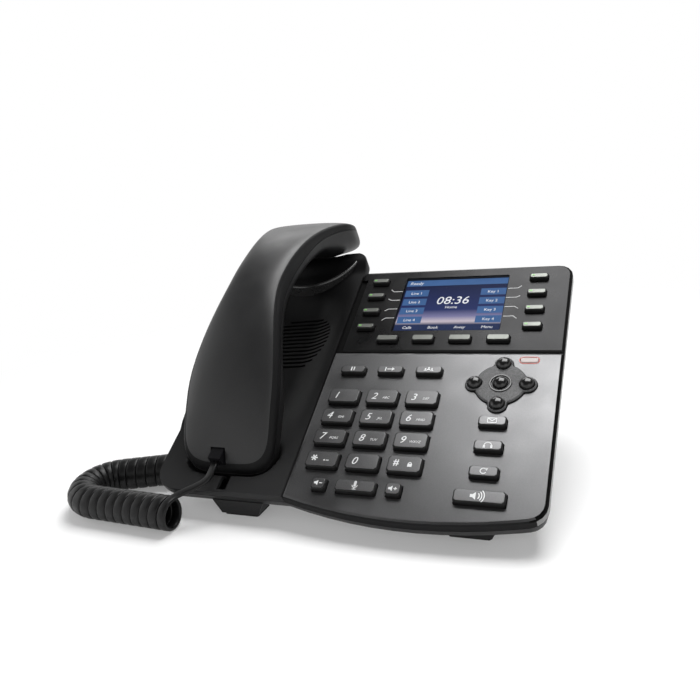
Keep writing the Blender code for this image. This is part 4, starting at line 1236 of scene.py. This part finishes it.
lamp_low, lamp_high = face_box("message_lamp")
lamp_at = top_of("message_lamp")
lamp_size = lamp_high - lamp_low - Vector((2.0 * LAMP_FLANGE, 2.0 * LAMP_FLANGE, 0.0))
lamp_outline = pill_ring(lamp_at.x, lamp_at.y, lamp_size.x + LAMP_ROOM, lamp_size.y + LAMP_ROOM,
                         LAMP_LINE, LAMP_LINE_HIGH)
marks("lamp_outline", "keypad_faceplate", [lamp_outline], lamp_red, ON_TOP)
centre = top_of("nav_ok")
disc_top = Vector((0.0, 0.0, face_box("nav_disc")[1].z))
marks("centre_ring", "nav_disc", [raised_ring(centre.x, centre.y)], ball_black, disc_top)

# Sockets at the back: contacts in the bay's network sockets, a pin in the power socket
SOCKET_X = (24.0, 42.0)
CONTACTS = 8
CONTACT_PITCH = 1.02
CONTACT_HALF = 0.22
CONTACT_ENDS = ((43.7, 88.6, 88.2), (50.5, 86.44, 85.8))
PIN_X = 60.0
PIN_Z = 84.6
PIN_POINTS = 16
PIN_SHAPE = ((1.0, 43.7), (1.0, 50.4), (0.5, 51.2))
contacts = []
for x in SOCKET_X:
    for k in range(CONTACTS):
        at = x + (k - (CONTACTS - 1) / 2) * CONTACT_PITCH
        left = at - CONTACT_HALF
        right = at + CONTACT_HALF
        contacts.append(loft([[(left, y, top), (right, y, top), (right, y, low), (left, y, low)]
                              for y, top, low in CONTACT_ENDS]))
piece("socket_contacts", *merged(contacts), "main_board", contact_gold)
pin_rings = [[(a, y, b) for a, b in circle(PIN_X, PIN_Z, r, PIN_POINTS)][::-1] for r, y in PIN_SHAPE]
piece("power_pin", *loft(pin_rings), "main_board", contact_gold)


# Studio light
def softbox(name, at, aim, wide, deep, power):
    data = bpy.data.lights.new(name, "AREA")
    data.shape = "RECTANGLE"
    data.size = wide
    data.size_y = deep
    data.energy = power
    lamp = bpy.data.objects.new(name, data)
    lamp.location = at
    lamp.rotation_euler = (Vector(aim) - Vector(at)).to_track_quat("-Z", "Y").to_euler()
    scene.collection.objects.link(lamp)


MIDDLE = (0.0, 0.0, 0.06)
softbox("top_light", (0.15, 0.36, 1.0), (0.15, 0.36, 0.0), 0.7, 0.75, 14.0)
softbox("front_light", (0.9, -1.2, 0.9), MIDDLE, 1.0, 1.0, 2.5)
softbox("left_light", (-1.2, -0.3, 0.7), MIDDLE, 1.0, 1.0, 2.8)
softbox("back_light", (-0.45, 1.0, 0.95), MIDDLE, 0.7, 0.5, 3.0)

# World: white low down, grey overhead
WORLD_GLOW = (1.0, 0.08)
WORLD_FADE = (0.3, 0.65)
world = bpy.data.worlds.new("studio")
world.use_nodes = True
scene.world = world
tree = world.node_tree
backdrop = tree.nodes["Background"]
strength = map_range(tree, upward(tree), WORLD_FADE, WORLD_GLOW, "SMOOTHSTEP")
tree.links.new(strength, backdrop.inputs["Strength"])
backdrop.inputs["Color"].default_value = (*WHITE, 1.0)

# Floor: a shadow near the object, plain white far off
FLOOR_TINT = (0.75, 0.75, 0.75)
FLOOR_ROUGH = 0.9
FLOOR_GLOW = (0.2, 1.0)
FLOOR_FADE = (0.16, 0.5)
FLOOR_HALF = 12.0
floor_mat = new_material("floor_white", FLOOR_TINT, FLOOR_ROUGH, 0.0, 0.0)
tree = floor_mat.node_tree
shader = shader_of(floor_mat)
reach = tree.nodes.new("ShaderNodeVectorMath")
reach.operation = "LENGTH"
tree.links.new(coords(tree, "Object"), reach.inputs[0])
far_off = map_range(tree, reach.outputs["Value"], FLOOR_FADE, WHOLE_SPAN, "SMOOTHSTEP")
glow = map_range(tree, far_off, WHOLE_SPAN, FLOOR_GLOW)
tree.links.new(glow, shader.inputs["Emission Strength"])
shader.inputs["Emission Color"].default_value = (*WHITE, 1.0)
tree.links.new(mixed(tree, far_off, FLOOR_TINT, BLACK, WHOLE_SPAN), shader.inputs["Base Color"])
corners = ((-1, -1), (1, -1), (1, 1), (-1, 1))
floor_mesh = bpy.data.meshes.new("floor")
floor_mesh.from_pydata([(a * FLOOR_HALF, b * FLOOR_HALF, 0.0) for a, b in corners], [], [(0, 1, 2, 3)])
floor_mesh.materials.append(floor_mat)
floor = bpy.data.objects.new("floor", floor_mesh)
scene.collection.objects.link(floor)
